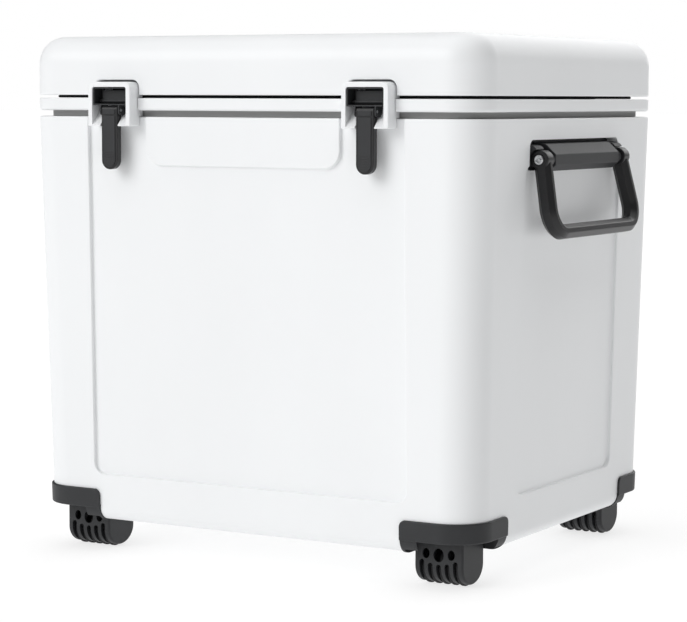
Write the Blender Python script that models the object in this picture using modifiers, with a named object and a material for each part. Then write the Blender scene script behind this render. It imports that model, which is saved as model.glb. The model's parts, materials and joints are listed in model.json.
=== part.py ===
"""A hard-sided picnic cooler on four small wheels, built piece by piece.

Metres, +Z up.  The origin is on the floor under the middle of the tub; the latches
face -Y, the hinges are on +Y, and a carrying bail hangs on each of the two X sides.
Every physical piece is its own object.  A moving piece has its origin on its joint axis.
"""

import math

import bmesh
import bpy
from mathutils import Matrix, Vector

# ---- Driving dimensions -----------------------------------------------------------
WIDTH = 0.520  # lid and rim, along X
DEPTH = 0.430  # lid and rim, along Y
CORNER = 0.038  # plan radius of the tub, rim and lid
WALL = 0.0035  # moulded skins
GAP = 0.0003  # between pieces that touch
SLACK = 0.00012  # radial room of a pin in its faceted bore
EPS = 1e-6
OVER = 0.02  # how far a cutter stands out past the face that it cuts
FLAT_ANGLE = math.radians(0.1)  # faces closer than this are one face

BODY_BOTTOM = 0.034
BODY_TOP = 0.447
BODY_TAPER = 0.009  # each wall leans in by this much from top to bottom
BODY_FOOT_ROUND = 0.014  # round of the bottom edge
BODY_LEDGE_ROUND = 0.002
RIM_BOTTOM = 0.453
RIM_TOP = 0.4655
NECK_INSET = 0.012
LEDGE_WIDTH = 0.020
LID_BOTTOM = 0.4685
LID_TOP = 0.5275
LID_ROUND = 0.027
INSULATION = 0.040  # outer face of the tub to outer face of the liner
LINER_WALL = 0.003
LINER_TAPER = 0.012
LINER_BOTTOM = 0.0725

PANEL_DEPTH = 0.004
PANEL_HALF_X = 0.181
PANEL_BOTTOM = 0.082
PANEL_ROUND = 0.012
TAB_HALF_X = 0.1115
TAB_BOTTOM = 0.3985
TAB_ROUND = 0.018
SIDE_PANEL_DEPTH = 0.003
SIDE_PANEL_HALF_Y = 0.112
SIDE_PANEL_TOP = 0.402

RECESS_HALF_Y = 0.1055
RECESS_BOTTOM = 0.397
RECESS_TOP = 0.4265
RECESS_FLOOR_X = 0.2452
RECESS_ROUND = 0.007

LATCH_X = 0.146
BEZEL_HALF_X = 0.0255
BEZEL_FRONT = -0.228
BEZEL_BACK = -0.205
BEZEL_BOTTOM = 0.4375
BEZEL_TOP = 0.4815
BEZEL_ROUND = 0.0065
POCKET_HALF_X = 0.0205
POCKET_BOTTOM = 0.458
POCKET_TOP = 0.4765
POCKET_BACK = -0.2115  # outer face of the pocket's rear wall
LATCH_WALL = 0.0015
NOTCH_HALF_X = 0.027
NOTCH_TOP = 0.4835
NOTCH_BACK = -0.199
LEVER_HALF_X = 0.0095
LEVER_THICK = 0.008
LEVER_Y = -0.2240
LEVER_PIVOT_Z = 0.4535
LEVER_END_Z = 0.3945
LEVER_PIN = 0.0015
EAR_INSIDE = LEVER_HALF_X + 0.0007  # inner face of the ears that hold the lever's pin
EAR_THICK = 0.0016
HOOK_HALF_X = 0.015
HOOK_Y = -0.2158
HOOK_Z = 0.4625
HOOK_PIN = 0.0012
HOOK_REACH = -0.2042
HOOK_TOP = 0.4732
HOOK_WINDOW = 0.4685  # lower edge of the opening that the claw reaches through
KEEPER_HALF_X = 0.014

PIVOT_X = 0.2667
PIVOT_Z = 0.4075
BAIL_LEG_Y = 0.0925
BAIL_GRIP_Y = 0.1015
BAIL_DROP = 0.0710  # pivot to grip, along the bail
BAIL_TILT = math.radians(11.5)
BAIL_HALF_WIDE = 0.0070  # half of the section, in the plane of the bail
BAIL_HALF_DEEP = 0.0086  # half of the section, out of that plane
BAIL_EDGE = 0.0042  # round of the section's corners
BAIL_BEND = 0.021
BOSS_RADIUS = 0.0092
CHEEK_END_Y = 0.1040
BLOCK_HALF_Y = 0.0765
SCREW_SHANK = 0.0025
SCREW_HEAD = 0.0047

BAND_BOTTOM = 0.050
BAND_TOP = 0.0665
BAND_PROUD = 0.0026
BAND_INNER_X = 0.174
BAND_INNER_Y = 0.134
BAND_ROUND = 0.007
TAIL_LENGTH = 0.018
TAIL_PROUD = 0.0012
BRACKET_WALL = 0.003

HOUSING_X = 0.205
HOUSING_Y = 0.1625
HOUSING_HALF_X = 0.026
HOUSING_HALF_Y = 0.0225
HOUSING_TOP = 0.0464
HOUSING_BEND_Z = 0.020
HOUSING_BOTTOM = 0.0018
WHEEL_RADIUS = 0.0185
WHEEL_CORE = 0.0145
WHEEL_RIB_PITCH = 0.009
WHEEL_RIB_WIDTH = 0.0036
WHEEL_RIBS = 5
SLOT_WIDTH = 0.0052
SLOT_TOP = 0.0225  # top of the middle slot
SLOT_RISE = 0.004  # the outer slots end higher by this much
VENTS = ((0.0, 0.0315, 0.0060), (-0.0135, 0.0320, 0.0042), (0.0135, 0.0320, 0.0042))  # x, z, radius
AXLE_RADIUS = 0.003

HINGE_X = 0.150
HINGE_Y = 0.223
HINGE_Z = 0.467
KNUCKLE = 0.005
HINGE_PIN = 0.002
HINGE_HALF_X = 0.030
HINGE_FOOT = 0.425
HINGE_HEAD = 0.500

DRAIN_X = -0.150
DRAIN_Z = 0.090
DRAIN_TUBE = 0.0105
DRAIN_BORE = 0.0078

WHITE = (0.90, 0.91, 0.92)
DARK = (0.055, 0.058, 0.062)
BLACK = (0.015, 0.015, 0.016)
FOAM = (0.86, 0.78, 0.55)
STEEL = (0.70, 0.71, 0.72)


# ---- Scene and small helpers ------------------------------------------------------
def clear_scene():
    for obj in list(bpy.data.objects):
        bpy.data.objects.remove(obj, do_unlink=True)


def collection(name):
    made = bpy.data.collections.new(name)
    bpy.context.scene.collection.children.link(made)
    return made


clear_scene()
PARTS = collection("wheeled_cooler")
CUTTERS = collection("cutters")


def object_from(bm, name):
    """A hidden working solid made from a bmesh, which is freed."""
    bmesh.ops.recalc_face_normals(bm, faces=bm.faces)
    mesh = bpy.data.meshes.new(name)
    bm.to_mesh(mesh)
    bm.free()
    obj = bpy.data.objects.new(name, mesh)
    CUTTERS.objects.link(obj)
    obj.hide_render = True
    obj.display_type = "WIRE"
    return obj


def evaluated_mesh(obj):
    graph = bpy.context.evaluated_depsgraph_get()
    return bpy.data.meshes.new_from_object(obj.evaluated_get(graph))


def combine(target, tools, operation):
    """Boolean of the target with each tool in turn; the tools are used up."""
    for tool in tools:
        modifier = target.modifiers.new("combine", "BOOLEAN")
        modifier.operation = operation
        modifier.solver = "EXACT"
        modifier.object = tool
        mesh = evaluated_mesh(target)
        target.modifiers.clear()
        target.data = mesh
        bpy.data.objects.remove(tool, do_unlink=True)
    return target


def cut(target, *tools):
    return combine(target, tools, "DIFFERENCE")


def join(target, *tools):
    return combine(target, tools, "UNION")


def keep(target, *tools):
    return combine(target, tools, "INTERSECT")


def material(name, colour, roughness, metallic):
    made = bpy.data.materials.new(name)
    made.use_nodes = True
    shader = made.node_tree.nodes["Principled BSDF"]
    shader.inputs["Base Color"].default_value = (*colour, 1.0)
    shader.inputs["Roughness"].default_value = roughness
    shader.inputs["Metallic"].default_value = metallic
    return made


def finish(obj, name, colour, roughness=0.45, metallic=0.0, origin=(0.0, 0.0, 0.0)):
    """Turns a working solid into a named part, with its own material and origin."""
    CUTTERS.objects.unlink(obj)
    PARTS.objects.link(obj)
    obj.name = name
    obj.data.name = name
    obj.hide_render = False
    obj.display_type = "TEXTURED"
    bm = bmesh.new()
    bm.from_mesh(obj.data)
    bmesh.ops.remove_doubles(bm, verts=bm.verts, dist=2e-6)
    bmesh.ops.dissolve_degenerate(bm, edges=bm.edges, dist=2e-6)
    bmesh.ops.dissolve_limit(bm, angle_limit=FLAT_ANGLE, verts=bm.verts, edges=bm.edges)
    bmesh.ops.translate(bm, vec=-Vector(origin), verts=bm.verts)
    bm.to_mesh(obj.data)
    bm.free()
    obj.location = origin
    obj.data.materials.clear()
    obj.data.materials.append(material(name, colour, roughness, metallic))
    obj.data.shade_smooth()
    obj.data.set_sharp_from_angle(angle=math.radians(32))
    return obj


def placed(obj, signs=(1, 1, 1), shift=(0.0, 0.0, 0.0)):
    """Reflects a working solid through the planes whose sign is -1, then moves it."""
    obj.data.transform(Matrix.Translation(shift) @ Matrix.Diagonal((*signs, 1)))
    if signs[0] * signs[1] * signs[2] < 0:
        obj.data.flip_normals()
    return obj


def box(low, high, edge=0.0, steps=2):
    """A box between two corners, with its edges rounded when edge is given."""
    bm = bmesh.new()
    bmesh.ops.create_cube(bm, size=1.0)
    size = [b - a for a, b in zip(low, high)]
    centre = [(a + b) / 2 for a, b in zip(low, high)]
    bmesh.ops.scale(bm, vec=size, verts=bm.verts)
    bmesh.ops.translate(bm, vec=centre, verts=bm.verts)
    if edge:
        bmesh.ops.bevel(bm, geom=list(bm.edges), offset=edge, segments=steps, profile=0.5,
                        affect="EDGES")
    return object_from(bm, "box")


def rounded_box(half_x, half_y, low, high, corner, bottom=0.0, top=0.0, steps=6, edge_steps=3):
    """A block with round plan corners, and rounded bottom and top edges."""
    bm = bmesh.new()
    bmesh.ops.create_cube(bm, size=2.0)
    bmesh.ops.scale(bm, vec=(half_x, half_y, (high - low) / 2), verts=bm.verts)
    bmesh.ops.translate(bm, vec=(0, 0, (high + low) / 2), verts=bm.verts)
    upright = [e for e in bm.edges if abs(e.verts[0].co.z - e.verts[1].co.z) > EPS]
    bmesh.ops.bevel(bm, geom=upright, offset=corner, segments=steps, profile=0.5,
                    affect="EDGES")
    for level, radius in ((low, bottom), (high, top)):
        if radius > 0:
            edge = [e for e in bm.edges if all(abs(v.co.z - level) < EPS for v in e.verts)]
            bmesh.ops.bevel(bm, geom=edge, offset=radius, segments=edge_steps, profile=0.5,
                            affect="EDGES")
    return object_from(bm, "rounded_box")


def lean(obj, taper, low, high):
    """Moves every wall in by taper from the high level to the low one."""
    for vertex in obj.data.vertices:
        inward = taper * (high - vertex.co.z) / (high - low)
        vertex.co.x -= inward * math.copysign(1, vertex.co.x)
        vertex.co.y -= inward * math.copysign(1, vertex.co.y)
    return obj


def cylinder(centre, radius, length, axis, sides=16):
    bm = bmesh.new()
    bmesh.ops.create_cone(bm, cap_ends=True, segments=sides, radius1=radius, radius2=radius,
                          depth=length)
    turn = {"X": Matrix.Rotation(math.pi / 2, 4, "Y"), "Y": Matrix.Rotation(math.pi / 2, 4, "X"),
            "Z": Matrix.Identity(4)}[axis]
    bmesh.ops.transform(bm, matrix=Matrix.Translation(centre) @ turn, verts=bm.verts)
    return object_from(bm, "cylinder")


def rounded_outline(corners, steps=4):
    """Points round a flat outline whose corners are (u, v, radius)."""
    points = []
    count = len(corners)
    for i, (u, v, radius) in enumerate(corners):
        here = Vector((u, v))
        before = (Vector(corners[i - 1][:2]) - here).normalized()
        after = (Vector(corners[(i + 1) % count][:2]) - here).normalized()
        if radius <= 0:
            points.append(here)
            continue
        half = before.angle(after) / 2
        centre = here + (before + after).normalized() * radius / math.sin(half)
        start = here + before * radius / math.tan(half) - centre
        sweep = start.angle_signed(here + after * radius / math.tan(half) - centre)
        for k in range(steps + 1):
            points.append(centre + Matrix.Rotation(-sweep * k / steps, 2) @ start)
    return points


PLANES = {
    "XY": Matrix.Identity(4),
    "XZ": Matrix(((1, 0, 0, 0), (0, 0, -1, 0), (0, 1, 0, 0), (0, 0, 0, 1))),
    "YZ": Matrix(((0, 0, 1, 0), (1, 0, 0, 0), (0, 1, 0, 0), (0, 0, 0, 1))),
}


def prism(points, plane, low, high):
    """A flat outline in the named plane, extruded from low to high along its normal axis."""
    curve = bpy.data.curves.new("prism", "CURVE")
    curve.dimensions = "2D"
    curve.fill_mode = "BOTH"
    curve.extrude = (high - low) / 2
    spline = curve.splines.new("POLY")
    spline.points.add(len(points) - 1)
    for slot, point in zip(spline.points, points):
        slot.co = (point[0], point[1], 0, 1)
    spline.use_cyclic_u = True
    shape = bpy.data.objects.new("prism", curve)
    CUTTERS.objects.link(shape)
    mesh = evaluated_mesh(shape)
    bpy.data.objects.remove(shape, do_unlink=True)
    bm = bmesh.new()
    bm.from_mesh(mesh)
    bmesh.ops.remove_doubles(bm, verts=bm.verts, dist=EPS)
    bmesh.ops.dissolve_limit(bm, angle_limit=math.radians(0.5), verts=bm.verts, edges=bm.edges)
    middle = (low + high) / 2
    shift = {"XY": (0, 0, middle), "XZ": (0, middle, 0), "YZ": (middle, 0, 0)}[plane]
    bmesh.ops.transform(bm, matrix=Matrix.Translation(shift) @ PLANES[plane], verts=bm.verts)
    return object_from(bm, "prism")


def turned(profile, centre, axis, sides=16):
    """A profile of (radius, height) pairs, from top to bottom, turned about the axis."""
    mesh = bpy.data.meshes.new("turned")
    points = [(radius, 0, height) for radius, height in profile]
    closed = profile[0][0] > EPS
    edges = [(i, i + 1) for i in range(len(points) - 1)]
    if closed:
        edges.append((len(points) - 1, 0))
    mesh.from_pydata(points, edges, [])
    shape = bpy.data.objects.new("turned", mesh)
    CUTTERS.objects.link(shape)
    screw = shape.modifiers.new("turn", "SCREW")
    screw.axis = "Z"
    screw.angle = 2 * math.pi
    screw.steps = sides
    screw.render_steps = sides
    screw.use_merge_vertices = True
    screw.merge_threshold = 1e-5
    result = evaluated_mesh(shape)
    bpy.data.objects.remove(shape, do_unlink=True)
    bm = bmesh.new()
    bm.from_mesh(result)
    bmesh.ops.remove_doubles(bm, verts=bm.verts, dist=EPS)
    turn = {"X": Matrix.Rotation(math.pi / 2, 4, "Y"), "Y": Matrix.Rotation(-math.pi / 2, 4, "X"),
            "Z": Matrix.Identity(4)}[axis]
    bmesh.ops.transform(bm, matrix=Matrix.Translation(centre) @ turn, verts=bm.verts)
    return object_from(bm, "turned")


def leaning(obj):
    """Tilts a front cutter so that its floor is parallel to the leaning front wall."""
    angle = math.atan(BODY_TAPER / (BODY_TOP - BODY_BOTTOM))
    hinge = Vector((0, -DEPTH / 2, BODY_TOP))
    turn = Matrix.Rotation(angle, 4, "X")
    obj.data.transform(Matrix.Translation(hinge) @ turn @ Matrix.Translation(-hinge))
    return obj


def side_leaning(obj):
    """The same for a cutter on the +X wall."""
    angle = math.atan(BODY_TAPER / (BODY_TOP - BODY_BOTTOM))
    hinge = Vector((WIDTH / 2, 0, BODY_TOP))
    turn = Matrix.Rotation(angle, 4, "Y")
    obj.data.transform(Matrix.Translation(hinge) @ turn @ Matrix.Translation(-hinge))
    return obj


# ---- The tub ----------------------------------------------------------------------
def front_panel_tool(grow):
    """The sunk front panel: a wide field that runs up both sides of a hanging tab."""
    half = PANEL_HALF_X - grow
    tab = TAB_HALF_X + grow
    over = BODY_TOP + OVER
    outline = rounded_outline([
        (-half, PANEL_BOTTOM + grow, PANEL_ROUND - grow),
        (half, PANEL_BOTTOM + grow, PANEL_ROUND - grow),
        (half, over, 0), (tab, over, 0),
        (tab, TAB_BOTTOM - grow, TAB_ROUND + grow),
        (-tab, TAB_BOTTOM - grow, TAB_ROUND + grow),
        (-tab, over, 0), (-half, over, 0),
    ])
    front = -DEPTH / 2
    return leaning(prism(outline, "XZ", front - OVER, front + PANEL_DEPTH - grow))


def side_panel_tool(grow, side):
    """The sunk panel under a carrying handle."""
    half = SIDE_PANEL_HALF_Y - grow
    low, high = PANEL_BOTTOM + grow, SIDE_PANEL_TOP - grow
    outline = rounded_outline([(-half, low, PANEL_ROUND), (half, low, PANEL_ROUND),
                               (half, high, PANEL_ROUND), (-half, high, PANEL_ROUND)])
    wall = WIDTH / 2
    tool = side_leaning(prism(outline, "YZ", wall - SIDE_PANEL_DEPTH + grow, wall + OVER))
    return placed(tool, (side, 1, 1))


def recess_outline(shrink):
    """The round-cornered outline of a handle's recess, drawn smaller by shrink all round."""
    half = RECESS_HALF_Y - shrink
    low, high = RECESS_BOTTOM + shrink, RECESS_TOP - shrink
    return rounded_outline([(-half, low, RECESS_ROUND), (half, low, RECESS_ROUND),
                            (half, high, RECESS_ROUND), (-half, high, RECESS_ROUND)], steps=3)


def handle_recess_tool(grow, side):
    tool = prism(recess_outline(grow), "YZ", RECESS_FLOOR_X + grow, WIDTH / 2 + OVER)
    return placed(tool, (side, 1, 1))


def wheel_well_tool(grow, side, end):
    """The square corner cut out of the tub's underside, over one wheel."""
    low = (BAND_INNER_X + GAP + grow, BAND_INNER_Y + GAP + grow, 0.0)
    high = (WIDTH / 2 + OVER, DEPTH / 2 + OVER, BAND_BOTTOM - grow)
    return placed(box(low, high), (side, end, 1))


def tub_block(grow):
    """The tub's outer form with every face moved out by grow (in, when it is negative)."""
    block = rounded_box(WIDTH / 2 + grow, DEPTH / 2 + grow, BODY_BOTTOM - grow, BODY_TOP + grow,
                        CORNER + grow, bottom=BODY_FOOT_ROUND + grow,
                        top=max(BODY_LEDGE_ROUND + grow, 0.0))
    lean(block, BODY_TAPER, BODY_BOTTOM, BODY_TOP)
    tools = [front_panel_tool(grow)]
    for side in (1, -1):
        tools.append(side_panel_tool(grow, side))
        tools.append(handle_recess_tool(grow, side))
        tools += [wheel_well_tool(grow, side, end) for end in (1, -1)]
    return cut(block, *tools)


def drain_hole(radius):
    return cylinder((DRAIN_X, DEPTH / 2 - 0.02, DRAIN_Z), radius, 0.12, "Y", sides=20)


def liner_block(grow, high=RIM_TOP):
    block = rounded_box(WIDTH / 2 - INSULATION + grow, DEPTH / 2 - INSULATION + grow,
                        LINER_BOTTOM - grow, high, CORNER - 0.012 + grow,
                        bottom=0.008 + grow, steps=5)
    return lean(block, LINER_TAPER, LINER_BOTTOM, RIM_TOP)


def make_tub():
    mouth = rounded_box(WIDTH / 2 - LEDGE_WIDTH, DEPTH / 2 - LEDGE_WIDTH, BODY_TOP - 0.02,
                        BODY_TOP + 0.02, CORNER - 0.010)
    shell = cut(tub_block(0.0), tub_block(-WALL), mouth, drain_hole(DRAIN_TUBE + GAP))
    finish(shell, "outer_shell", WHITE)

    foam = cut(tub_block(-WALL - GAP), liner_block(GAP, high=BODY_TOP + 0.02),
               drain_hole(DRAIN_TUBE + GAP))
    finish(foam, "foam_core", FOAM, 0.9)

    liner = cut(liner_block(0.0), liner_block(-LINER_WALL, high=RIM_TOP + 0.02),
                drain_hole(DRAIN_TUBE + GAP))
    finish(liner, "inner_liner", WHITE)


def make_rim():
    rim = rounded_box(WIDTH / 2, DEPTH / 2, RIM_BOTTOM, RIM_TOP, CORNER, bottom=0.003,
                      top=0.001, edge_steps=2)
    neck = rounded_box(WIDTH / 2 - NECK_INSET, DEPTH / 2 - NECK_INSET, BODY_TOP + GAP,
                       RIM_BOTTOM + 0.002, CORNER - 0.008)
    tools = [liner_block(GAP, high=RIM_TOP + 0.02)]
    for side in (1, -1):
        low = (side * LATCH_X - BEZEL_HALF_X - 0.0007, -DEPTH, RIM_BOTTOM - 0.003)
        high = (side * LATCH_X + BEZEL_HALF_X + 0.0007, BEZEL_BACK + GAP, RIM_TOP + 0.01)
        tools.append(box(low, high))
    finish(cut(join(rim, neck), *tools), "rim_frame", WHITE)


# ---- The lid ----------------------------------------------------------------------
def lid_notch_tool(grow, side):
    """The opening that lets the lid come down over a latch bezel."""
    half = NOTCH_HALF_X - grow
    high = NOTCH_TOP - grow
    round_ = 0.008 - grow
    outline = rounded_outline([(-half, LID_BOTTOM - 0.03, 0), (half, LID_BOTTOM - 0.03, 0),
                               (half, high, round_), (-half, high, round_)])
    tool = prism(outline, "XZ", -DEPTH / 2 - 0.02, NOTCH_BACK - grow)
    return placed(tool, (1, 1, 1), (side * LATCH_X, 0, 0))


def lid_block(grow, low):
    block = rounded_box(WIDTH / 2 + grow, DEPTH / 2 + grow, low, LID_TOP + grow,
                        CORNER + grow, bottom=0.0 if grow else 0.0015, top=LID_ROUND + grow,
                        edge_steps=5)
    return cut(block, lid_notch_tool(grow, 1), lid_notch_tool(grow, -1))


def make_lid():
    shell = cut(lid_block(0.0, LID_BOTTOM), lid_block(-WALL, LID_BOTTOM - 0.01))
    finish(shell, "lid_shell", WHITE)

    inner = WALL + GAP
    deck_top = LID_BOTTOM + 0.005
    tools = [box((-1, -1, deck_top), (1, 1, 1))]
    deck = cut(lid_block(-inner, LID_BOTTOM + GAP), *tools)
    plug = rounded_box(WIDTH / 2 - INSULATION - 0.008, DEPTH / 2 - INSULATION - 0.008,
                       LID_BOTTOM - 0.010, deck_top - 0.001, CORNER - 0.020, bottom=0.004,
                       steps=4, edge_steps=2)
    finish(join(deck, plug), "lid_liner", WHITE)

    finish(lid_block(-inner, deck_top + GAP), "lid_foam", FOAM, 0.9)

    ring = rounded_box(WIDTH / 2 - 0.017, DEPTH / 2 - 0.017, RIM_TOP + GAP, LID_BOTTOM, 0.026,
                       steps=4)
    hole = rounded_box(WIDTH / 2 - 0.023, DEPTH / 2 - 0.023, RIM_TOP - 0.01, LID_BOTTOM + 0.01,
                       0.020, steps=4)
    finish(cut(ring, hole), "lid_gasket", BLACK, 0.8)


# ---- The latches ------------------------------------------------------------------
def make_bezel():
    half, round_ = BEZEL_HALF_X, BEZEL_ROUND
    outline = rounded_outline([(-half, BEZEL_BOTTOM, 0), (half, BEZEL_BOTTOM, 0),
                               (half, BEZEL_TOP, round_), (-half, BEZEL_TOP, round_)])
    body = prism(outline, "XZ", BEZEL_FRONT, BEZEL_BACK)
    window = rounded_outline([(-POCKET_HALF_X, POCKET_BOTTOM, 0), (POCKET_HALF_X, POCKET_BOTTOM, 0),
                              (POCKET_HALF_X, POCKET_TOP, 0.002),
                              (-POCKET_HALF_X, POCKET_TOP, 0.002)], steps=2)
    through = prism(window, "XZ", BEZEL_FRONT - 0.01, BEZEL_BACK + 0.01)
    ramp = prism([(BEZEL_FRONT - 0.0005, BEZEL_BOTTOM), (BEZEL_BACK - 0.003, POCKET_BOTTOM + 0.001),
                  (BEZEL_FRONT - 0.0005, POCKET_BOTTOM + 0.001)], "YZ",
                 -POCKET_HALF_X, POCKET_HALF_X)
    slot_back = LEVER_Y + 0.010
    slot = box((-LEVER_HALF_X - 0.001, BEZEL_FRONT - 0.01, BEZEL_BOTTOM - 0.01),
               (LEVER_HALF_X + 0.001, slot_back, POCKET_BOTTOM + 0.001))
    ear_half = EAR_INSIDE + EAR_THICK + GAP
    ears = box((-ear_half, BEZEL_FRONT - 0.01, LEVER_PIVOT_Z - 0.0055),
               (ear_half, slot_back + 0.0008, POCKET_BOTTOM + 0.001))
    wall_y = -DEPTH / 2 + PANEL_DEPTH - 0.0004
    behind = box((-1, wall_y, 0), (1, 1, BODY_TOP + GAP))
    return cut(body, through, ramp, slot, ears, behind)


def make_pocket():
    """The dark liner of the bezel: a shallow box, open in front, with two ears for the lever."""
    low, high = POCKET_BOTTOM + GAP, POCKET_TOP - GAP
    half = POCKET_HALF_X - GAP
    front, back = BEZEL_FRONT + 0.0015, POCKET_BACK
    face = rounded_outline([(-half, low, 0), (half, low, 0), (half, high, 0.002),
                            (-half, high, 0.002)], steps=2)
    body = prism(face, "XZ", front, back)
    inner = box((-half + LATCH_WALL, front - 0.01, low + LATCH_WALL),
                (half - LATCH_WALL, back - LATCH_WALL, high - LATCH_WALL))
    window = box((-HOOK_HALF_X - 0.001, back - 0.01, HOOK_WINDOW),
                 (HOOK_HALF_X + 0.001, 0, high - LATCH_WALL))
    body = cut(body, inner, window)
    for side in (1, -1):
        reach = LEVER_Y - 0.003
        outline = rounded_outline([(reach, LEVER_PIVOT_Z - 0.005, 0.003),
                                   (LEVER_Y + 0.0097, LEVER_PIVOT_Z - 0.005, 0),
                                   (LEVER_Y + 0.0097, low + 0.0005, 0), (reach, low + 0.0005, 0.001)],
                                  steps=3)
        ends = sorted((side * EAR_INSIDE, side * (EAR_INSIDE + EAR_THICK)))
        body = join(body, prism(outline, "YZ", *ends))
    pin_hole = cylinder((0, LEVER_Y, LEVER_PIVOT_Z), LEVER_PIN + SLACK, 0.05, "X", 12)
    hook_hole = cylinder((0, HOOK_Y, HOOK_Z), HOOK_PIN + SLACK, 0.05, "X", 12)
    return cut(body, pin_hole, hook_hole)


def make_lever():
    """The hanging lever, with a round end at the pin and a half-round finger end."""
    half = LEVER_HALF_X
    face = rounded_outline([(-half, LEVER_END_Z, half - 0.0001), (half, LEVER_END_Z, half - 0.0001),
                            (half, LEVER_PIVOT_Z + LEVER_THICK / 2, 0.001),
                            (-half, LEVER_PIVOT_Z + LEVER_THICK / 2, 0.001)], steps=6)
    front, back = LEVER_Y - LEVER_THICK / 2, LEVER_Y + LEVER_THICK / 2
    lever = prism(face, "XZ", front, back)
    top = LEVER_PIVOT_Z + LEVER_THICK / 2
    side = rounded_outline([(front, LEVER_END_Z - 0.001, 0.002), (back, LEVER_END_Z - 0.001, 0.002),
                            (back, top, LEVER_THICK / 2 - 0.0001),
                            (front, top, LEVER_THICK / 2 - 0.0001)], steps=4)
    lever = keep(lever, prism(side, "YZ", -0.02, 0.02))
    grips = []
    for i in range(4):
        low = LEVER_END_Z + 0.006 + 0.003 * i
        grips.append(box((-0.006, front - 0.01, low), (0.006, front + 0.0006, low + 0.0012)))
    seam = box((-0.02, front - 0.01, LEVER_PIVOT_Z - 0.0052),
               (0.02, front + 0.0008, LEVER_PIVOT_Z - 0.0042))
    bore = cylinder((0, LEVER_Y, LEVER_PIVOT_Z), LEVER_PIN + SLACK, 0.05, "X", 12)
    return cut(lever, bore, seam, *grips)


def make_hook():
    """The claw that the lever draws against the keeper on the lid."""
    plate = box((-HOOK_HALF_X, HOOK_Y - 0.0015, HOOK_Z), (HOOK_HALF_X, HOOK_Y + 0.001, HOOK_TOP))
    claw = box((-HOOK_HALF_X, HOOK_Y, HOOK_TOP - 0.0026), (HOOK_HALF_X, HOOK_REACH, HOOK_TOP))
    boss = cylinder((0, HOOK_Y, HOOK_Z), 0.0024, 2 * HOOK_HALF_X + 0.004, "X", 16)
    bore = cylinder((0, HOOK_Y, HOOK_Z), HOOK_PIN + SLACK, 0.06, "X", 12)
    return cut(join(plate, claw, boss), bore)


def make_keeper():
    """The plate in the lid's notch, with the lip that the claw pulls on."""
    back = NOTCH_BACK - GAP
    low = LID_BOTTOM + 0.0005
    plate = box((-KEEPER_HALF_X, back - 0.0022, low), (KEEPER_HALF_X, back, NOTCH_TOP - 0.003), 0.0006, 1)
    lip_half = KEEPER_HALF_X - 0.001
    lip = box((-lip_half, HOOK_REACH + GAP, low + 0.0001), (lip_half, back - 0.001, HOOK_TOP - 0.0030))
    return join(plate, lip)


def make_latches():
    for side, word in ((1, "right"), (-1, "left")):
        at = (1, 1, 1), (side * LATCH_X, 0, 0)
        pivot = (side * LATCH_X, LEVER_Y, LEVER_PIVOT_Z)
        hook_axis = (side * LATCH_X, HOOK_Y, HOOK_Z)
        finish(placed(make_bezel(), *at), f"latch_bezel_{word}", WHITE)
        finish(placed(make_pocket(), *at), f"latch_pocket_{word}", DARK)
        finish(placed(make_lever(), *at), f"latch_lever_{word}", DARK, 0.5, origin=pivot)
        finish(placed(make_hook(), *at), f"latch_hook_{word}", DARK, 0.5, origin=hook_axis)
        finish(placed(make_keeper(), *at), f"lid_keeper_{word}", DARK)
        pin = cylinder(pivot, LEVER_PIN, 2 * (EAR_INSIDE + EAR_THICK), "X", 12)
        finish(pin, f"lever_pin_{word}", STEEL, 0.3, 1.0)
        hook_pin = cylinder(hook_axis, HOOK_PIN, 2 * (POCKET_HALF_X - 2 * GAP), "X", 12)
        finish(hook_pin, f"hook_pin_{word}", STEEL, 0.3, 1.0)


# ---- The carrying handles ---------------------------------------------------------
def make_handle_bracket():
    """A plate in the recess with a six-sided block, which holds a pivot screw at each end."""
    floor = RECESS_FLOOR_X + GAP
    plate = prism(recess_outline(GAP), "YZ", floor, floor + 0.003)
    root, front = floor + 0.001, PIVOT_X + 0.0065
    section = [(root, PIVOT_Z - 0.0085), (PIVOT_X - 0.001, PIVOT_Z - 0.0115),
               (front, PIVOT_Z - 0.0055), (front, PIVOT_Z + 0.0050),
               (PIVOT_X - 0.0045, PIVOT_Z + 0.0150), (root, PIVOT_Z + 0.0165)]
    block = prism(section, "XZ", -BLOCK_HALF_Y, BLOCK_HALF_Y)
    bosses = [cylinder((PIVOT_X, side * (BLOCK_HALF_Y + 0.0035), PIVOT_Z), 0.0060, 0.0090, "Y", 16)
              for side in (1, -1)]
    cheeks = [make_cheek(root, side) for side in (1, -1)]
    holes = [cylinder((PIVOT_X, side * BLOCK_HALF_Y, PIVOT_Z), SCREW_SHANK + SLACK, 0.024, "Y", 12)
             for side in (1, -1)]
    return cut(join(plate, block, *bosses, *cheeks), *holes)


def make_cheek(root, side):
    """The hollowed wall behind one leg of the bail, cut back round the leg's head."""
    low, high = PIVOT_Z - 0.0070, PIVOT_Z + 0.0155
    outline = rounded_outline([(root, low, 0), (PIVOT_X - 0.001, low, 0.002),
                               (PIVOT_X - 0.001, high - 0.002, 0.006), (root, high, 0)], steps=3)
    cheek = prism(outline, "XZ", *sorted((side * (BAIL_LEG_Y - BAIL_HALF_WIDE), side * CHEEK_END_Y)))
    room = BOSS_RADIUS + 0.0012
    head = cylinder((PIVOT_X, side * BAIL_LEG_Y, PIVOT_Z), room, 0.03, "Y", 24)
    return cut(cheek, head, box((PIVOT_X - room, -1, 0), (1, 1, PIVOT_Z)))


def bail_path():
    """Centre line of the bail in its own plane: (along Y, down from the pivot)."""
    corners = [(BAIL_LEG_Y, 0.004, 0), (BAIL_GRIP_Y, BAIL_DROP, BAIL_BEND),
               (-BAIL_GRIP_Y, BAIL_DROP, BAIL_BEND), (-BAIL_LEG_Y, 0.004, 0)]
    return rounded_outline(corners, steps=5)


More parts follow.
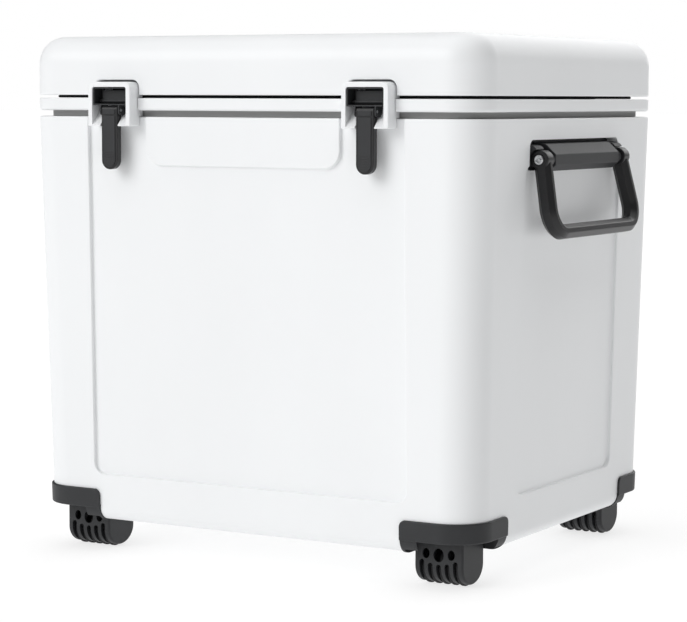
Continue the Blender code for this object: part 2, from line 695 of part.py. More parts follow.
def flat_curve(points, closed):
    """A straight-sided 2D curve object through the points."""
    curve = bpy.data.curves.new("flat_curve", "CURVE")
    curve.dimensions = "2D"
    curve.fill_mode = "NONE"
    spline = curve.splines.new("POLY")
    spline.points.add(len(points) - 1)
    for slot, (u, v) in zip(spline.points, points):
        slot.co = (u, v, 0, 1)
    spline.use_cyclic_u = closed
    shape = bpy.data.objects.new("flat_curve", curve)
    CUTTERS.objects.link(shape)
    return shape


def make_bail():
    wide, deep = BAIL_HALF_WIDE, BAIL_HALF_DEEP
    section = flat_curve(rounded_outline([(-wide, -deep, BAIL_EDGE), (wide, -deep, BAIL_EDGE),
                                          (wide, deep, BAIL_EDGE), (-wide, deep, BAIL_EDGE)],
                                         steps=2), True)
    shape = flat_curve(bail_path(), False)
    shape.data.bevel_mode = "OBJECT"
    shape.data.bevel_object = section
    shape.data.use_fill_caps = True
    mesh = evaluated_mesh(shape)
    for guide in (shape, section):
        bpy.data.objects.remove(guide, do_unlink=True)
    out, down = math.sin(BAIL_TILT), math.cos(BAIL_TILT)
    place = Matrix(((0, out, down, PIVOT_X), (1, 0, 0, 0), (0, -down, out, PIVOT_Z), (0, 0, 0, 1)))
    bm = bmesh.new()
    bm.from_mesh(mesh)
    bmesh.ops.remove_doubles(bm, verts=bm.verts, dist=EPS)
    bmesh.ops.transform(bm, matrix=place, verts=bm.verts)
    bail = object_from(bm, "bail")
    width = 2 * BAIL_HALF_WIDE
    bosses = [cylinder((PIVOT_X, side * BAIL_LEG_Y, PIVOT_Z), BOSS_RADIUS, width, "Y", 20)
              for side in (1, -1)]
    holes = [cylinder((PIVOT_X, side * BAIL_LEG_Y, PIVOT_Z), SCREW_SHANK + SLACK, 0.03, "Y", 12)
             for side in (1, -1)]
    return cut(join(bail, *bosses), *holes)


def make_handle_screw(end):
    """A socket-head pivot screw, its head outside the bail's leg."""
    face = BAIL_LEG_Y + BAIL_HALF_WIDE + 0.0004
    length = face - BLOCK_HALF_Y + 0.008
    profile = [(0, 0.0008), (0.0022, 0.0008), (0.0022, 0.0024), (SCREW_HEAD - 0.0005, 0.0024),
               (SCREW_HEAD, 0.0019), (SCREW_HEAD, 0), (SCREW_SHANK, 0), (SCREW_SHANK, -length),
               (0, -length)]
    screw = turned(profile, (PIVOT_X, face, PIVOT_Z), "Y", 12)
    return placed(screw, (1, end, 1))


def make_handles():
    for side, word in ((1, "right"), (-1, "left")):
        flip = (side, 1, 1)
        finish(placed(make_handle_bracket(), flip), f"handle_bracket_{word}", DARK)
        pivot = (side * PIVOT_X, 0, PIVOT_Z)
        finish(placed(make_bail(), flip), f"handle_bail_{word}", DARK, 0.3, origin=pivot)
        for end, place in ((-1, "front"), (1, "rear")):
            screw = placed(make_handle_screw(end), flip)
            finish(screw, f"handle_screw_{word}_{place}", STEEL, 0.25, 1.0)


# ---- The wheels and their housings ------------------------------------------------
def corner_envelope(proud, low, high, bottom=0.0):
    block = rounded_box(WIDTH / 2 + proud, DEPTH / 2 + proud, low, high, CORNER + proud,
                        bottom=bottom)
    return lean(block, BODY_TAPER, BODY_BOTTOM, BODY_TOP)


def make_corner_bracket():
    """The bumper round a bottom corner: a band, a roof over the wheel, two walls and two tails."""
    x0, y0 = BAND_INNER_X + 2 * GAP, BAND_INNER_Y + 2 * GAP
    edge_x, edge_y = WIDTH / 2 - BODY_TAPER, DEPTH / 2 - BODY_TAPER
    roof = HOUSING_TOP + GAP
    far = 0.4
    band = cut(corner_envelope(BAND_PROUD, roof, BAND_TOP),
               corner_envelope(GAP, BAND_BOTTOM - GAP, BAND_TOP + 0.01))
    skirt = corner_envelope(TAIL_PROUD, BODY_BOTTOM - TAIL_PROUD, roof + 0.001,
                            BODY_FOOT_ROUND + TAIL_PROUD)
    well = box((x0 + BRACKET_WALL, y0 + BRACKET_WALL, 0),
               (edge_x - BRACKET_WALL, edge_y - BRACKET_WALL, BAND_TOP))
    corner = box((x0 + TAIL_LENGTH, y0 + TAIL_LENGTH, 0), (far, far, BAND_TOP))
    bracket = join(band, cut(skirt, well, corner))
    return keep(bracket, band_end("XZ", x0), band_end("YZ", y0))


def band_end(plane, start):
    """A tall sheet with a rounded top corner, which trims one end of the band."""
    outline = rounded_outline([(start, 0, 0), (0.4, 0, 0), (0.4, BAND_TOP + GAP, 0),
                               (start, BAND_TOP + GAP, BAND_ROUND)])
    return prism(outline, plane, -0.4, 0.4)


def make_housing():
    """A shroud with a U-shaped side, three vent holes in front and five slots round the bottom."""
    half_y, bend = HOUSING_HALF_Y, HOUSING_BEND_Z
    drop = bend - HOUSING_BOTTOM
    arc = [(half_y * math.cos(t), bend - drop * math.sin(t))
           for t in (math.pi * k / 10 for k in range(11))]
    outline = [(half_y, HOUSING_TOP)] + arc + [(-half_y, HOUSING_TOP)]
    body = prism(outline, "YZ", -HOUSING_HALF_X, HOUSING_HALF_X)
    rib_half = (WHEEL_RIBS - 1) / 2 * WHEEL_RIB_PITCH + SLOT_WIDTH / 2
    cavity = box((-rib_half, -WHEEL_RADIUS - 0.0008, bend - 0.001),
                 (rib_half, WHEEL_RADIUS + 0.0008, HOUSING_TOP - 0.003))
    throat = cylinder((0, 0, WHEEL_RADIUS), WHEEL_CORE + 0.0008, 2 * rib_half, "X", 14)
    body = cut(body, cavity, throat)
    for k in range(WHEEL_RIBS):
        x = (k - (WHEEL_RIBS - 1) / 2) * WHEEL_RIB_PITCH
        top = SLOT_TOP + SLOT_RISE * (x / (2 * WHEEL_RIB_PITCH)) ** 2
        half = SLOT_WIDTH / 2
        arch = [(x - half, -0.01), (x + half, -0.01)]
        arch += [(x + half * math.cos(t), top - half + half * math.sin(t))
                 for t in (math.pi * j / 3 for j in range(4))]
        body = cut(body, prism(arch, "XZ", -0.03, 0.03))
    for x, z, radius in VENTS:
        body = cut(body, cylinder((x, -half_y, z), radius, 0.012, "Y", 12))
    seats = cylinder((0, 0, WHEEL_RADIUS), AXLE_RADIUS + SLACK, 2 * (HOUSING_HALF_X - 0.002), "X", 12)
    return cut(body, seats)


def make_wheel():
    """A roller with five tread ribs that run in the housing's slots."""
    half = WHEEL_RIB_WIDTH / 2
    profile = []
    for k in reversed(range(WHEEL_RIBS)):
        x = (k - (WHEEL_RIBS - 1) / 2) * WHEEL_RIB_PITCH
        profile += [(WHEEL_CORE, x + half), (WHEEL_RADIUS, x + half), (WHEEL_RADIUS, x - half),
                    (WHEEL_CORE, x - half)]
    end = profile[0][1]
    bore = AXLE_RADIUS + SLACK
    return turned([(bore, end), *profile[1:-1], (bore, -end)], (0, 0, WHEEL_RADIUS), "X", 12)


def make_wheels():
    for side, word in ((1, "right"), (-1, "left")):
        for end, place in ((-1, "front"), (1, "rear")):
            name = f"{place}_{word}"
            bracket = placed(make_corner_bracket(), (side, end, 1))
            finish(bracket, f"corner_bracket_{name}", DARK)
            at = (1, 1, 1), (side * HOUSING_X, end * HOUSING_Y, 0)
            finish(placed(make_housing(), *at), f"wheel_housing_{name}", DARK)
            hub = (side * HOUSING_X, end * HOUSING_Y, WHEEL_RADIUS)
            finish(placed(make_wheel(), *at), f"wheel_{name}", BLACK, 0.7, origin=hub)
            axle = cylinder(hub, AXLE_RADIUS, 2 * (HOUSING_HALF_X - 0.0023), "X", 12)
            finish(axle, f"wheel_axle_{name}", STEEL, 0.3, 1.0)


# ---- The lid hinges ---------------------------------------------------------------
def hinge_leaf(low, high, knuckles):
    """A plate on the rear wall with knuckles round the pin."""
    wall = DEPTH / 2 + GAP
    leaf = box((-HINGE_HALF_X, wall, low), (HINGE_HALF_X, wall + 0.003, high), 0.001, 1)
    for start, stop in knuckles:
        middle, length = (start + stop) / 2, stop - start
        barrel = cylinder((middle, HINGE_Y, HINGE_Z), KNUCKLE, length, "X", 16)
        reach = (min(low, HINGE_Z), max(high, HINGE_Z))
        edge = (high - 0.002, reach[1]) if high < HINGE_Z else (reach[0], low + 0.002)
        web = box((start, wall + 0.0002, edge[0]), (stop, HINGE_Y, edge[1]))
        leaf = join(leaf, join(barrel, web))
    return cut(leaf, cylinder((0, HINGE_Y, HINGE_Z), HINGE_PIN + SLACK, 0.1, "X", 12))


def make_hinges():
    third = HINGE_HALF_X / 3
    outer = [(-HINGE_HALF_X + 0.001, -third - GAP), (third + GAP, HINGE_HALF_X - 0.001)]
    for side, word in ((1, "right"), (-1, "left")):
        at = (1, 1, 1), (side * HINGE_X, 0, 0)
        body_leaf = hinge_leaf(RIM_BOTTOM + 0.003, HINGE_Z - 0.0045, outer)
        foot = box((-HINGE_HALF_X, DEPTH / 2 + GAP, HINGE_FOOT),
                   (HINGE_HALF_X, DEPTH / 2 + 0.0033, RIM_BOTTOM + 0.004), 0.001, 1)
        finish(placed(join(body_leaf, foot), *at), f"hinge_leaf_tub_{word}", DARK)
        lid_leaf = hinge_leaf(HINGE_Z + 0.006, HINGE_HEAD, [(-third + GAP, third - GAP)])
        finish(placed(lid_leaf, *at), f"hinge_leaf_lid_{word}", DARK)
        pin = cylinder((side * HINGE_X, HINGE_Y, HINGE_Z), HINGE_PIN, 2 * HINGE_HALF_X, "X", 12)
        finish(pin, f"hinge_pin_{word}", STEEL, 0.3, 1.0)


# ---- The drain --------------------------------------------------------------------
def rear_wall(z):
    return DEPTH / 2 - BODY_TAPER * (BODY_TOP - z) / (BODY_TOP - BODY_BOTTOM)


def make_drain():
    """A flanged tube through the rear wall, with a seal, an inside nut and a push-in plug."""
    outside = rear_wall(DRAIN_Z + 0.018) + 0.0012
    inside = DEPTH / 2 - INSULATION - LINER_TAPER - LINER_WALL - 0.001
    at = (DRAIN_X, 0, DRAIN_Z)
    bore, tube, flange = DRAIN_BORE, DRAIN_TUBE, 0.018
    profile = [(bore, outside + 0.004), (flange - 0.001, outside + 0.004), (flange, outside + 0.003),
               (flange, outside), (tube, outside), (tube, inside - 0.004), (bore, inside - 0.004)]
    finish(turned(profile, at, "Y", 20), "drain_fitting", DARK)

    seal = [(tube + GAP, outside - GAP), (0.016, outside - GAP), (0.016, outside - 0.0009),
            (tube + GAP, outside - 0.0009)]
    finish(turned(seal, at, "Y", 20), "drain_seal", BLACK, 0.8)

    nut = [(tube + GAP, inside - GAP), (0.0125, inside - GAP), (0.0125, inside - 0.0035),
           (tube + GAP, inside - 0.0035)]
    finish(turned(nut, at, "Y", 20), "drain_nut", WHITE)

    head = outside + 0.004 + GAP
    plug = [(0, head + 0.006), (0.012, head + 0.006), (0.013, head + 0.005), (0.013, head),
            (bore - 0.0004, head), (bore - 0.0010, inside - 0.003), (0, inside - 0.003)]
    seat = (DRAIN_X, head, DRAIN_Z)
    finish(turned(plug, at, "Y", 20), "drain_plug", DARK, origin=seat)


def main():
    make_tub()
    make_rim()
    make_lid()
    make_latches()
    make_handles()
    make_wheels()
    make_hinges()
    make_drain()


main()
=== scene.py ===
"""Wheeled cooler: finished surfaces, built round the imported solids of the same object.

Metres, +Z up.  The latches face -Y, the hinges are on +Y, and +X is the right side.
Every piece is made in place, so each finished object sits at the origin, unturned.
"""

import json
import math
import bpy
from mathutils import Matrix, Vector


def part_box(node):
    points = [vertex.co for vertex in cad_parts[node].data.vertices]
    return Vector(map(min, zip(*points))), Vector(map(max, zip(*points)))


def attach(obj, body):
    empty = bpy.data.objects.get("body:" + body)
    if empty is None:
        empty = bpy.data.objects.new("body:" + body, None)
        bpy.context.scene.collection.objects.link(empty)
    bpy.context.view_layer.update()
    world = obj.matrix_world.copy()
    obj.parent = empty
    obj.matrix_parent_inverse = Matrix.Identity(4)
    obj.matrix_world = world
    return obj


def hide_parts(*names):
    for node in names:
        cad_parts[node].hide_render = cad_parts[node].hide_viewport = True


bl_info = {
    "name": "Wheeled Cooler",
    "version": (1, 0, 0),
    "blender": (4, 5, 0),
    "location": "View3D > Sidebar > Cooler",
    "description": "Builds the finished pieces of a hard-sided cooler on four small wheels",
    "category": "Add Mesh",
}

import bmesh
import bpy
from bpy.props import FloatProperty, FloatVectorProperty, PointerProperty
from mathutils import Matrix, Vector

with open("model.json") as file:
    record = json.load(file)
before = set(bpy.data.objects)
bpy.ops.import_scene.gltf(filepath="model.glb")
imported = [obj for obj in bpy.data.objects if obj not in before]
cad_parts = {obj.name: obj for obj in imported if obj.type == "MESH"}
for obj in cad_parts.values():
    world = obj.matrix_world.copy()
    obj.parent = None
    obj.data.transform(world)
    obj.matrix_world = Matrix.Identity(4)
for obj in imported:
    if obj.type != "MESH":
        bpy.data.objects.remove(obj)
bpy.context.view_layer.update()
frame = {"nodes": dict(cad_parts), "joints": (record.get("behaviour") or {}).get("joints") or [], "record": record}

LID_LOW, LID_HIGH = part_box("lid_shell")
TUB_LOW, TUB_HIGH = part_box("outer_shell")
RIM_LOW, RIM_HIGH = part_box("rim_frame")
LINER_LOW, LINER_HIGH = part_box("inner_liner")
DECK_LOW, DECK_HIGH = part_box("lid_liner")
HALF_X, HALF_Y = LID_HIGH.x, LID_HIGH.y

EPS = 1e-6
MERGE = 4e-6  # vertices nearer than this become one
GAP = 0.0003  # between pieces that touch
OVER = 0.02  # how far a cutter stands out past the face that it cuts
FLAT_ANGLE = math.radians(0.1)
SHARP_ANGLE = math.radians(36)
SHELL_ANGLE = math.radians(30)  # edges of the shells above this are rounded
DRAIN_HOLE = 0.0108
SIDES = ((1, "right"), (-1, "left"))
ENDS = ((-1, "front"), (1, "rear"))


# ---- Sizes and colours a user would change ------------------------------------------
def length(label, about, value):
    return FloatProperty(name=label, description=about, default=value, min=0.0, unit="LENGTH",
                         precision=4)


def amount(label, about, value, top=10.0):
    return FloatProperty(name=label, description=about, default=value, min=0.0, max=top)


def angle(label, about, degrees):
    return FloatProperty(name=label, description=about, default=math.radians(degrees),
                         subtype="ANGLE")


def colour(label, about, value):
    return FloatVectorProperty(name=label, description=about, default=value, size=3, min=0.0,
                               max=1.0, subtype="COLOR")


class CoolerSizes(bpy.types.PropertyGroup):
    """Sizes of the shells and their details."""

    corner: length("Corner", "Plan radius of the tub, the rim and the lid", 0.038)
    taper: length("Taper", "How far each wall leans in from the top to the bottom", 0.009)
    foot_round: length("Foot round", "Round of the tub's bottom edge", 0.014)
    lid_round: length("Lid round", "Round of the lid's top edge", 0.027)
    wall: length("Wall", "Thickness of the moulded skins", 0.0035)
    soft: length("Soft edge", "Small round on the moulded edges of the shells", 0.0014)
    panel_depth: length("Panel depth", "How far the front panel is sunk", 0.004)
    side_depth: length("Side panel depth", "How far each side panel is sunk", 0.003)
    insulation: length("Insulation", "Outer face of the tub to the liner", 0.040)
    liner_wall: length("Liner wall", "Thickness of the food liner", 0.003)
    liner_taper: length("Liner taper", "How far the liner's walls lean in", 0.012)
    bail_wide: length("Bail width", "Half the bail's section, in the plane of the bail", 0.0070)
    bail_deep: length("Bail depth", "Half the bail's section, out of that plane", 0.0086)
    rib_pitch: length("Rib pitch", "Distance between the ribs of a wheel", 0.009)
    rib_width: length("Rib width", "Width of one rib of a wheel", 0.0036)


class CoolerColours(bpy.types.PropertyGroup):
    """Colours of the finishes."""

    shell: colour("Shell", "Satin outer plastic", (0.86, 0.872, 0.882))
    liner: colour("Liner", "Glossy food liner", (0.84, 0.85, 0.86))
    dark: colour("Fittings", "Charcoal fittings", (0.026, 0.027, 0.029))
    grip: colour("Bail", "Semi-gloss bails", (0.018, 0.018, 0.019))
    rubber: colour("Rubber", "Wheels and seals", (0.012, 0.012, 0.013))
    steel: colour("Steel", "Pins, axles and screws", (0.70, 0.71, 0.72))
    # Painted shade: this grey is painted on the rim's neck band to stand for the shadow in the groove under the
    # lid.
    neck: colour("Neck", "Grey band of the rim, in the groove under the lid", (0.44, 0.44, 0.44))
    foam: colour("Foam", "Insulation between the skins", (0.80, 0.70, 0.45))


class CoolerStage(bpy.types.PropertyGroup):
    """The camera and the light."""

    lens: amount("Lens", "Focal length in millimetres", 124.49, 500.0)
    azimuth: angle("Azimuth", "Turn of the camera to the right of the front", 29.81)
    elevation: angle("Elevation", "How far the camera looks down", 5.13)
    roll: angle("Roll", "Turn of the camera round its own axis", 0.17)
    key: amount("Key light", "Strength of the soft light on the front", 1.50)
    top: amount("Top light", "Strength of the soft light from above", 1.47)
    back: amount("Back light", "Strength of the soft light from behind", 1.1)
    sky: amount("Sky", "Strength of the even light from all round", 0.17)
    glow: amount("Floor glow", "Share of the floor's brightness that no shadow takes away", 0.73)


CAMERA_PLACE = (1.2382, -2.1723, 0.4664)


# ---- Working solids ---------------------------------------------------------------
def solid_from(bm, name="solid"):
    bmesh.ops.recalc_face_normals(bm, faces=bm.faces)
    mesh = bpy.data.meshes.new(name)
    bm.to_mesh(mesh)
    bm.free()
    obj = bpy.data.objects.new(name, mesh)
    bpy.context.scene.collection.objects.link(obj)
    return obj


def bake(obj):
    """Applies the object's modifiers to its mesh."""
    graph = bpy.context.evaluated_depsgraph_get()
    mesh = bpy.data.meshes.new_from_object(obj.evaluated_get(graph))
    obj.modifiers.clear()
    obj.data = mesh
    return obj


def combine(target, tools, operation):
    for tool in tools:
        modifier = target.modifiers.new("combine", "BOOLEAN")
        modifier.operation = operation
        modifier.solver = "EXACT"
        modifier.object = tool
        bake(target)
        bpy.data.objects.remove(tool, do_unlink=True)
    return target


def cut(target, *tools):
    return combine(target, tools, "DIFFERENCE")


def join(target, *tools):
    return combine(target, tools, "UNION")


def keep(target, *tools):
    return combine(target, tools, "INTERSECT")


def clean(obj):
    """Merges doubles and turns flat patches into single faces."""
    bm = bmesh.new()
    bm.from_mesh(obj.data)
    bmesh.ops.remove_doubles(bm, verts=bm.verts, dist=MERGE)
    bmesh.ops.dissolve_degenerate(bm, edges=bm.edges, dist=MERGE)
    bmesh.ops.dissolve_limit(bm, angle_limit=FLAT_ANGLE, verts=bm.verts, edges=bm.edges)
    bm.to_mesh(obj.data)
    bm.free()
    return obj


def soften(obj, width, segments=3, limit=SHARP_ANGLE):
    """Rounds every edge that is sharper than the limit."""
    clean(obj)
    bevel = obj.modifiers.new("soften", "BEVEL")
    bevel.width = width
    bevel.segments = segments
    bevel.limit_method = "ANGLE"
    bevel.angle_limit = limit
    bevel.use_clamp_overlap = False
    bevel.miter_outer = "MITER_ARC"
    return bake(obj)


def smooth(obj):
    """Smooth shading that stays flat on the flat faces."""
    obj.data.shade_smooth()
    obj.data.set_sharp_from_angle(angle=SHARP_ANGLE)
    weighted = obj.modifiers.new("weighted", "WEIGHTED_NORMAL")
    weighted.keep_sharp = True
    return bake(obj)


def moved(obj, signs=(1, 1, 1), shift=(0.0, 0.0, 0.0)):
    """Reflects a working solid through the planes whose sign is -1, then moves it."""
    obj.data.transform(Matrix.Translation(shift) @ Matrix.Diagonal((*signs, 1)))
    if signs[0] * signs[1] * signs[2] < 0:
        obj.data.flip_normals()
    return obj


def box(low, high, edge=0.0, steps=3):
    bm = bmesh.new()
    bmesh.ops.create_cube(bm, size=1.0)
    bmesh.ops.scale(bm, vec=Vector(high) - Vector(low), verts=bm.verts)
    bmesh.ops.translate(bm, vec=(Vector(low) + Vector(high)) / 2, verts=bm.verts)
    if edge:
        bmesh.ops.bevel(bm, geom=list(bm.edges), offset=edge, segments=steps, profile=0.5,
                        affect="EDGES")
    return solid_from(bm)


def rounded_box(half_x, half_y, low, high, corner, bottom=0.0, top=0.0, steps=18, edge_steps=8):
    """A block with round plan corners, and rounded bottom and top edges."""
    bm = bmesh.new()
    bmesh.ops.create_cube(bm, size=2.0)
    bmesh.ops.scale(bm, vec=(half_x, half_y, (high - low) / 2), verts=bm.verts)
    bmesh.ops.translate(bm, vec=(0, 0, (high + low) / 2), verts=bm.verts)
    upright = [e for e in bm.edges if abs(e.verts[0].co.z - e.verts[1].co.z) > EPS]
    bmesh.ops.bevel(bm, geom=upright, offset=corner, segments=steps, profile=0.5,
                    affect="EDGES")
    for level, radius in ((low, bottom), (high, top)):
        if radius > 0:
            edge = [e for e in bm.edges if all(abs(v.co.z - level) < EPS for v in e.verts)]
            bmesh.ops.bevel(bm, geom=edge, offset=radius, segments=edge_steps, profile=0.5,
                            affect="EDGES")
    return solid_from(bm)


def lean(obj, taper, low, high):
    """Moves every wall in by taper from the high level to the low one."""
    for vertex in obj.data.vertices:
        inward = taper * (high - vertex.co.z) / (high - low)
        vertex.co.x -= inward * math.copysign(1, vertex.co.x)
        vertex.co.y -= inward * math.copysign(1, vertex.co.y)
    return obj


TURNS = {
    "X": Matrix.Rotation(math.pi / 2, 4, "Y"),
    "Y": Matrix.Rotation(-math.pi / 2, 4, "X"),
}


def cylinder(centre, radius, depth, axis, sides=48):
    bm = bmesh.new()
    bmesh.ops.create_cone(bm, cap_ends=True, segments=sides, radius1=radius, radius2=radius,
                          depth=depth)
    bmesh.ops.transform(bm, matrix=Matrix.Translation(centre) @ TURNS[axis], verts=bm.verts)
    return solid_from(bm)


def turned(profile, centre, axis, sides=64):
    """A closed profile of (radius, height) pairs, turned about the axis."""
    bm = bmesh.new()
    points = [bm.verts.new((radius, 0, height)) for radius, height in profile]
    edges = [bm.edges.new(pair) for pair in zip(points, points[1:])]
    if profile[0][0] > EPS:
        edges.append(bm.edges.new((points[-1], points[0])))
    bmesh.ops.spin(bm, geom=points + edges, axis=(0, 0, 1), cent=(0, 0, 0),
                   angle=2 * math.pi, steps=sides, use_merge=True)
    bmesh.ops.remove_doubles(bm, verts=bm.verts, dist=EPS)
    bmesh.ops.transform(bm, matrix=Matrix.Translation(centre) @ TURNS[axis], verts=bm.verts)
    return solid_from(bm)


def rolled(inner, outer, half, edge):
    """Half the section of a disc for turned(), with its outer edges rounded over."""
    bend = 0.3 * edge
    return [(inner, half), (outer - edge, half), (outer - bend, half - bend), (outer, half - edge),
            (outer, edge - half), (outer - bend, bend - half), (outer - edge, -half),
            (inner, -half)]


def rounded_outline(corners, steps=10):
    """Points round a flat outline whose corners are (u, v, radius)."""
    points = []
    count = len(corners)
    for i, (u, v, radius) in enumerate(corners):
        here = Vector((u, v))
        before = (Vector(corners[i - 1][:2]) - here).normalized()
        after = (Vector(corners[(i + 1) % count][:2]) - here).normalized()
        if radius <= 0:
            points.append(here)
            continue
        half = before.angle(after) / 2
        centre = here + (before + after).normalized() * radius / math.sin(half)
        start = here + before * radius / math.tan(half) - centre
        sweep = start.angle_signed(here + after * radius / math.tan(half) - centre)
        for k in range(steps + 1):
            points.append(centre + Matrix.Rotation(-sweep * k / steps, 2) @ start)
    return points


def rectangle(half, low, high, radii, steps=10):
    """A rounded rectangle; radii go bottom left, bottom right, top right, top left."""
    spots = ((-half, low), (half, low), (half, high), (-half, high))
    return rounded_outline([(*spot, radius) for spot, radius in zip(spots, radii)], steps)


PLANES = {
    "XZ": Matrix(((1, 0, 0, 0), (0, 0, -1, 0), (0, 1, 0, 0), (0, 0, 0, 1))),
    "YZ": Matrix(((0, 0, 1, 0), (1, 0, 0, 0), (0, 1, 0, 0), (0, 0, 0, 1))),
}


def prism(points, plane, low, high):
    """A flat outline in the named plane, extruded from low to high along its normal axis."""
    bm = bmesh.new()
    face = bm.faces.new([bm.verts.new((u, v, 0)) for u, v in points])
    made = bmesh.ops.extrude_face_region(bm, geom=[face])
    top = [item for item in made["geom"] if isinstance(item, bmesh.types.BMVert)]
    bmesh.ops.translate(bm, vec=(0, 0, high - low), verts=top)
    start = {"XZ": (0, high, 0), "YZ": (low, 0, 0)}[plane]
    bmesh.ops.transform(bm, matrix=Matrix.Translation(start) @ PLANES[plane], verts=bm.verts)
    if plane == "XZ":
        bmesh.ops.reverse_faces(bm, faces=bm.faces)
    return solid_from(bm)


def soft_copy(node, width):
    """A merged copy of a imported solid, with its edges rounded."""
    obj = bpy.data.objects.new("copy", frame["nodes"][node].data.copy())
    bpy.context.scene.collection.objects.link(obj)
    obj.data.materials.clear()
    return soften(clean(obj), width, 2, math.radians(50))


# ---- Geometry Nodes: what repeats, and what follows a path ---------------------------
class Recipe:
    """A Geometry Nodes tree with named inputs, made node by node."""

    def __init__(self, name, inputs):
        self.tree = bpy.data.node_groups.new(name, "GeometryNodeTree")
        face = self.tree.interface
        face.new_socket("Geometry", in_out="INPUT", socket_type="NodeSocketGeometry")
        for label, kind in inputs:
            face.new_socket(label, in_out="INPUT", socket_type=kind)
        face.new_socket("Geometry", in_out="OUTPUT", socket_type="NodeSocketGeometry")
        self.inputs = self.tree.nodes.new("NodeGroupInput").outputs

    def node(self, kind, settings=(), *values, **links):
        """A node with its settings, and the values of its sockets by place or by label."""
        made = self.tree.nodes.new(kind)
        for key, value in dict(settings).items():
            setattr(made, key, value)
        named = [(label.replace("_", " "), value) for label, value in links.items()]
        for key, value in [*enumerate(values), *named]:
            socket = made.inputs[key]
            if isinstance(value, bpy.types.NodeSocket):
                self.tree.links.new(value, socket)
            else:
                socket.default_value = value
        return made.outputs

    def end(self, geometry, material):
        """Real faces with the material: the tree's last two steps."""
        real = self.node("GeometryNodeRealizeInstances", Geometry=geometry)["Geometry"]
        painted = self.node("GeometryNodeSetMaterial", Geometry=real, Material=material)
        out = self.tree.nodes.new("NodeGroupOutput")
        self.tree.links.new(painted["Geometry"], out.inputs["Geometry"])
        return self.tree


def row_recipe():
    """Copies of one object, in a straight row."""
    recipe = Recipe("row_of_copies", (("Piece", "NodeSocketObject"), ("Count", "NodeSocketInt"),
                                      ("Start", "NodeSocketVector"), ("Step", "NodeSocketVector"),
                                      ("Finish", "NodeSocketMaterial")))
    given = recipe.inputs
    line = recipe.node("GeometryNodeMeshLine", {"mode": "OFFSET"}, Count=given["Count"],
                       Start_Location=given["Start"], Offset=given["Step"])["Mesh"]
    piece = recipe.node("GeometryNodeObjectInfo", Object=given["Piece"])["Geometry"]
    copies = recipe.node("GeometryNodeInstanceOnPoints", Points=line, Instance=piece)
    return recipe.end(copies["Instances"], given["Finish"])


def ring_recipe():
    """Copies of one object round the Y axis through a centre."""
    recipe = Recipe("ring_of_copies", (("Piece", "NodeSocketObject"), ("Count", "NodeSocketInt"),
                                       ("Radius", "NodeSocketFloat"),
                                       ("Centre", "NodeSocketVector"),
                                       ("Finish", "NodeSocketMaterial")))
    given = recipe.inputs
    circle = recipe.node("GeometryNodeMeshCircle", Vertices=given["Count"],
                         Radius=given["Radius"])["Mesh"]
    index = recipe.node("GeometryNodeInputIndex")["Index"]
    share = recipe.node("ShaderNodeMath", {"operation": "DIVIDE"}, index, given["Count"])["Value"]
    turn = recipe.node("ShaderNodeMath", {"operation": "MULTIPLY"}, share, 2 * math.pi)
    spin = recipe.node("ShaderNodeCombineXYZ", Z=turn["Value"])["Vector"]
    piece = recipe.node("GeometryNodeObjectInfo", Object=given["Piece"])["Geometry"]
    copies = recipe.node("GeometryNodeInstanceOnPoints", Points=circle, Instance=piece,
                         Rotation=spin)["Instances"]
    real = recipe.node("GeometryNodeRealizeInstances", Geometry=copies)["Geometry"]
    upright = recipe.node("GeometryNodeTransform", Geometry=real,
                          Rotation=(-math.pi / 2, 0, 0), Translation=given["Centre"])["Geometry"]
    return recipe.end(upright, given["Finish"])


def sweep_recipe():
    """A flat path of edges in the XY plane, swept with the outline of another object."""
    recipe = Recipe("swept_section", (("Section", "NodeSocketObject"),
                                      ("Finish", "NodeSocketMaterial")))
    given = recipe.inputs
    path = recipe.node("GeometryNodeMeshToCurve", Mesh=given["Geometry"])["Curve"]
    flat = recipe.node("GeometryNodeSetCurveNormal", {"mode": "Z_UP"}, Curve=path)["Curve"]
    section = recipe.node("GeometryNodeObjectInfo", Object=given["Section"])["Geometry"]
    outline = recipe.node("GeometryNodeMeshToCurve", Mesh=section)["Curve"]
    tube = recipe.node("GeometryNodeCurveToMesh", Curve=flat, Profile_Curve=outline,
                       Fill_Caps=True)["Mesh"]
    return recipe.end(tube, given["Finish"])


RECIPES = {"row": row_recipe, "ring": ring_recipe, "sweep": sweep_recipe}


def grow(kind, host, finish, **values):
    """Runs a recipe on the host object and leaves a plain mesh."""
    name = RECIPES[kind].__name__
    tree = bpy.data.node_groups.get(name)
    if tree is None:
        tree = RECIPES[kind]()
        tree.name = name
    modifier = host.modifiers.new(kind, "NODES")
    modifier.node_group = tree
    labels = {item.name: item.identifier for item in tree.interface.items_tree
              if item.in_out == "INPUT"}
    for label, value in {**values, "Finish": finish}.items():
        modifier[labels[label]] = value
    bake(host)
    for value in values.values():
        if isinstance(value, bpy.types.Object):
            bpy.data.objects.remove(value, do_unlink=True)
    bm = bmesh.new()
    bm.from_mesh(host.data)
    bmesh.ops.remove_doubles(bm, verts=bm.verts, dist=EPS)
    bmesh.ops.recalc_face_normals(bm, faces=bm.faces)
    bm.to_mesh(host.data)
    bm.free()
    host.data.materials.clear()
    return host


def wire(points, closed):
    """An object of edges only, in the XY plane."""
    mesh = bpy.data.meshes.new("wire")
    edges = [(i, i + 1) for i in range(len(points) - 1)]
    if closed:
        edges.append((len(points) - 1, 0))
    mesh.from_pydata([(p[0], p[1], 0.0) for p in points], edges, [])
    obj = bpy.data.objects.new("wire", mesh)
    bpy.context.scene.collection.objects.link(obj)
    return obj


def bare_host():
    return wire([(0.0, 0.0)], False)


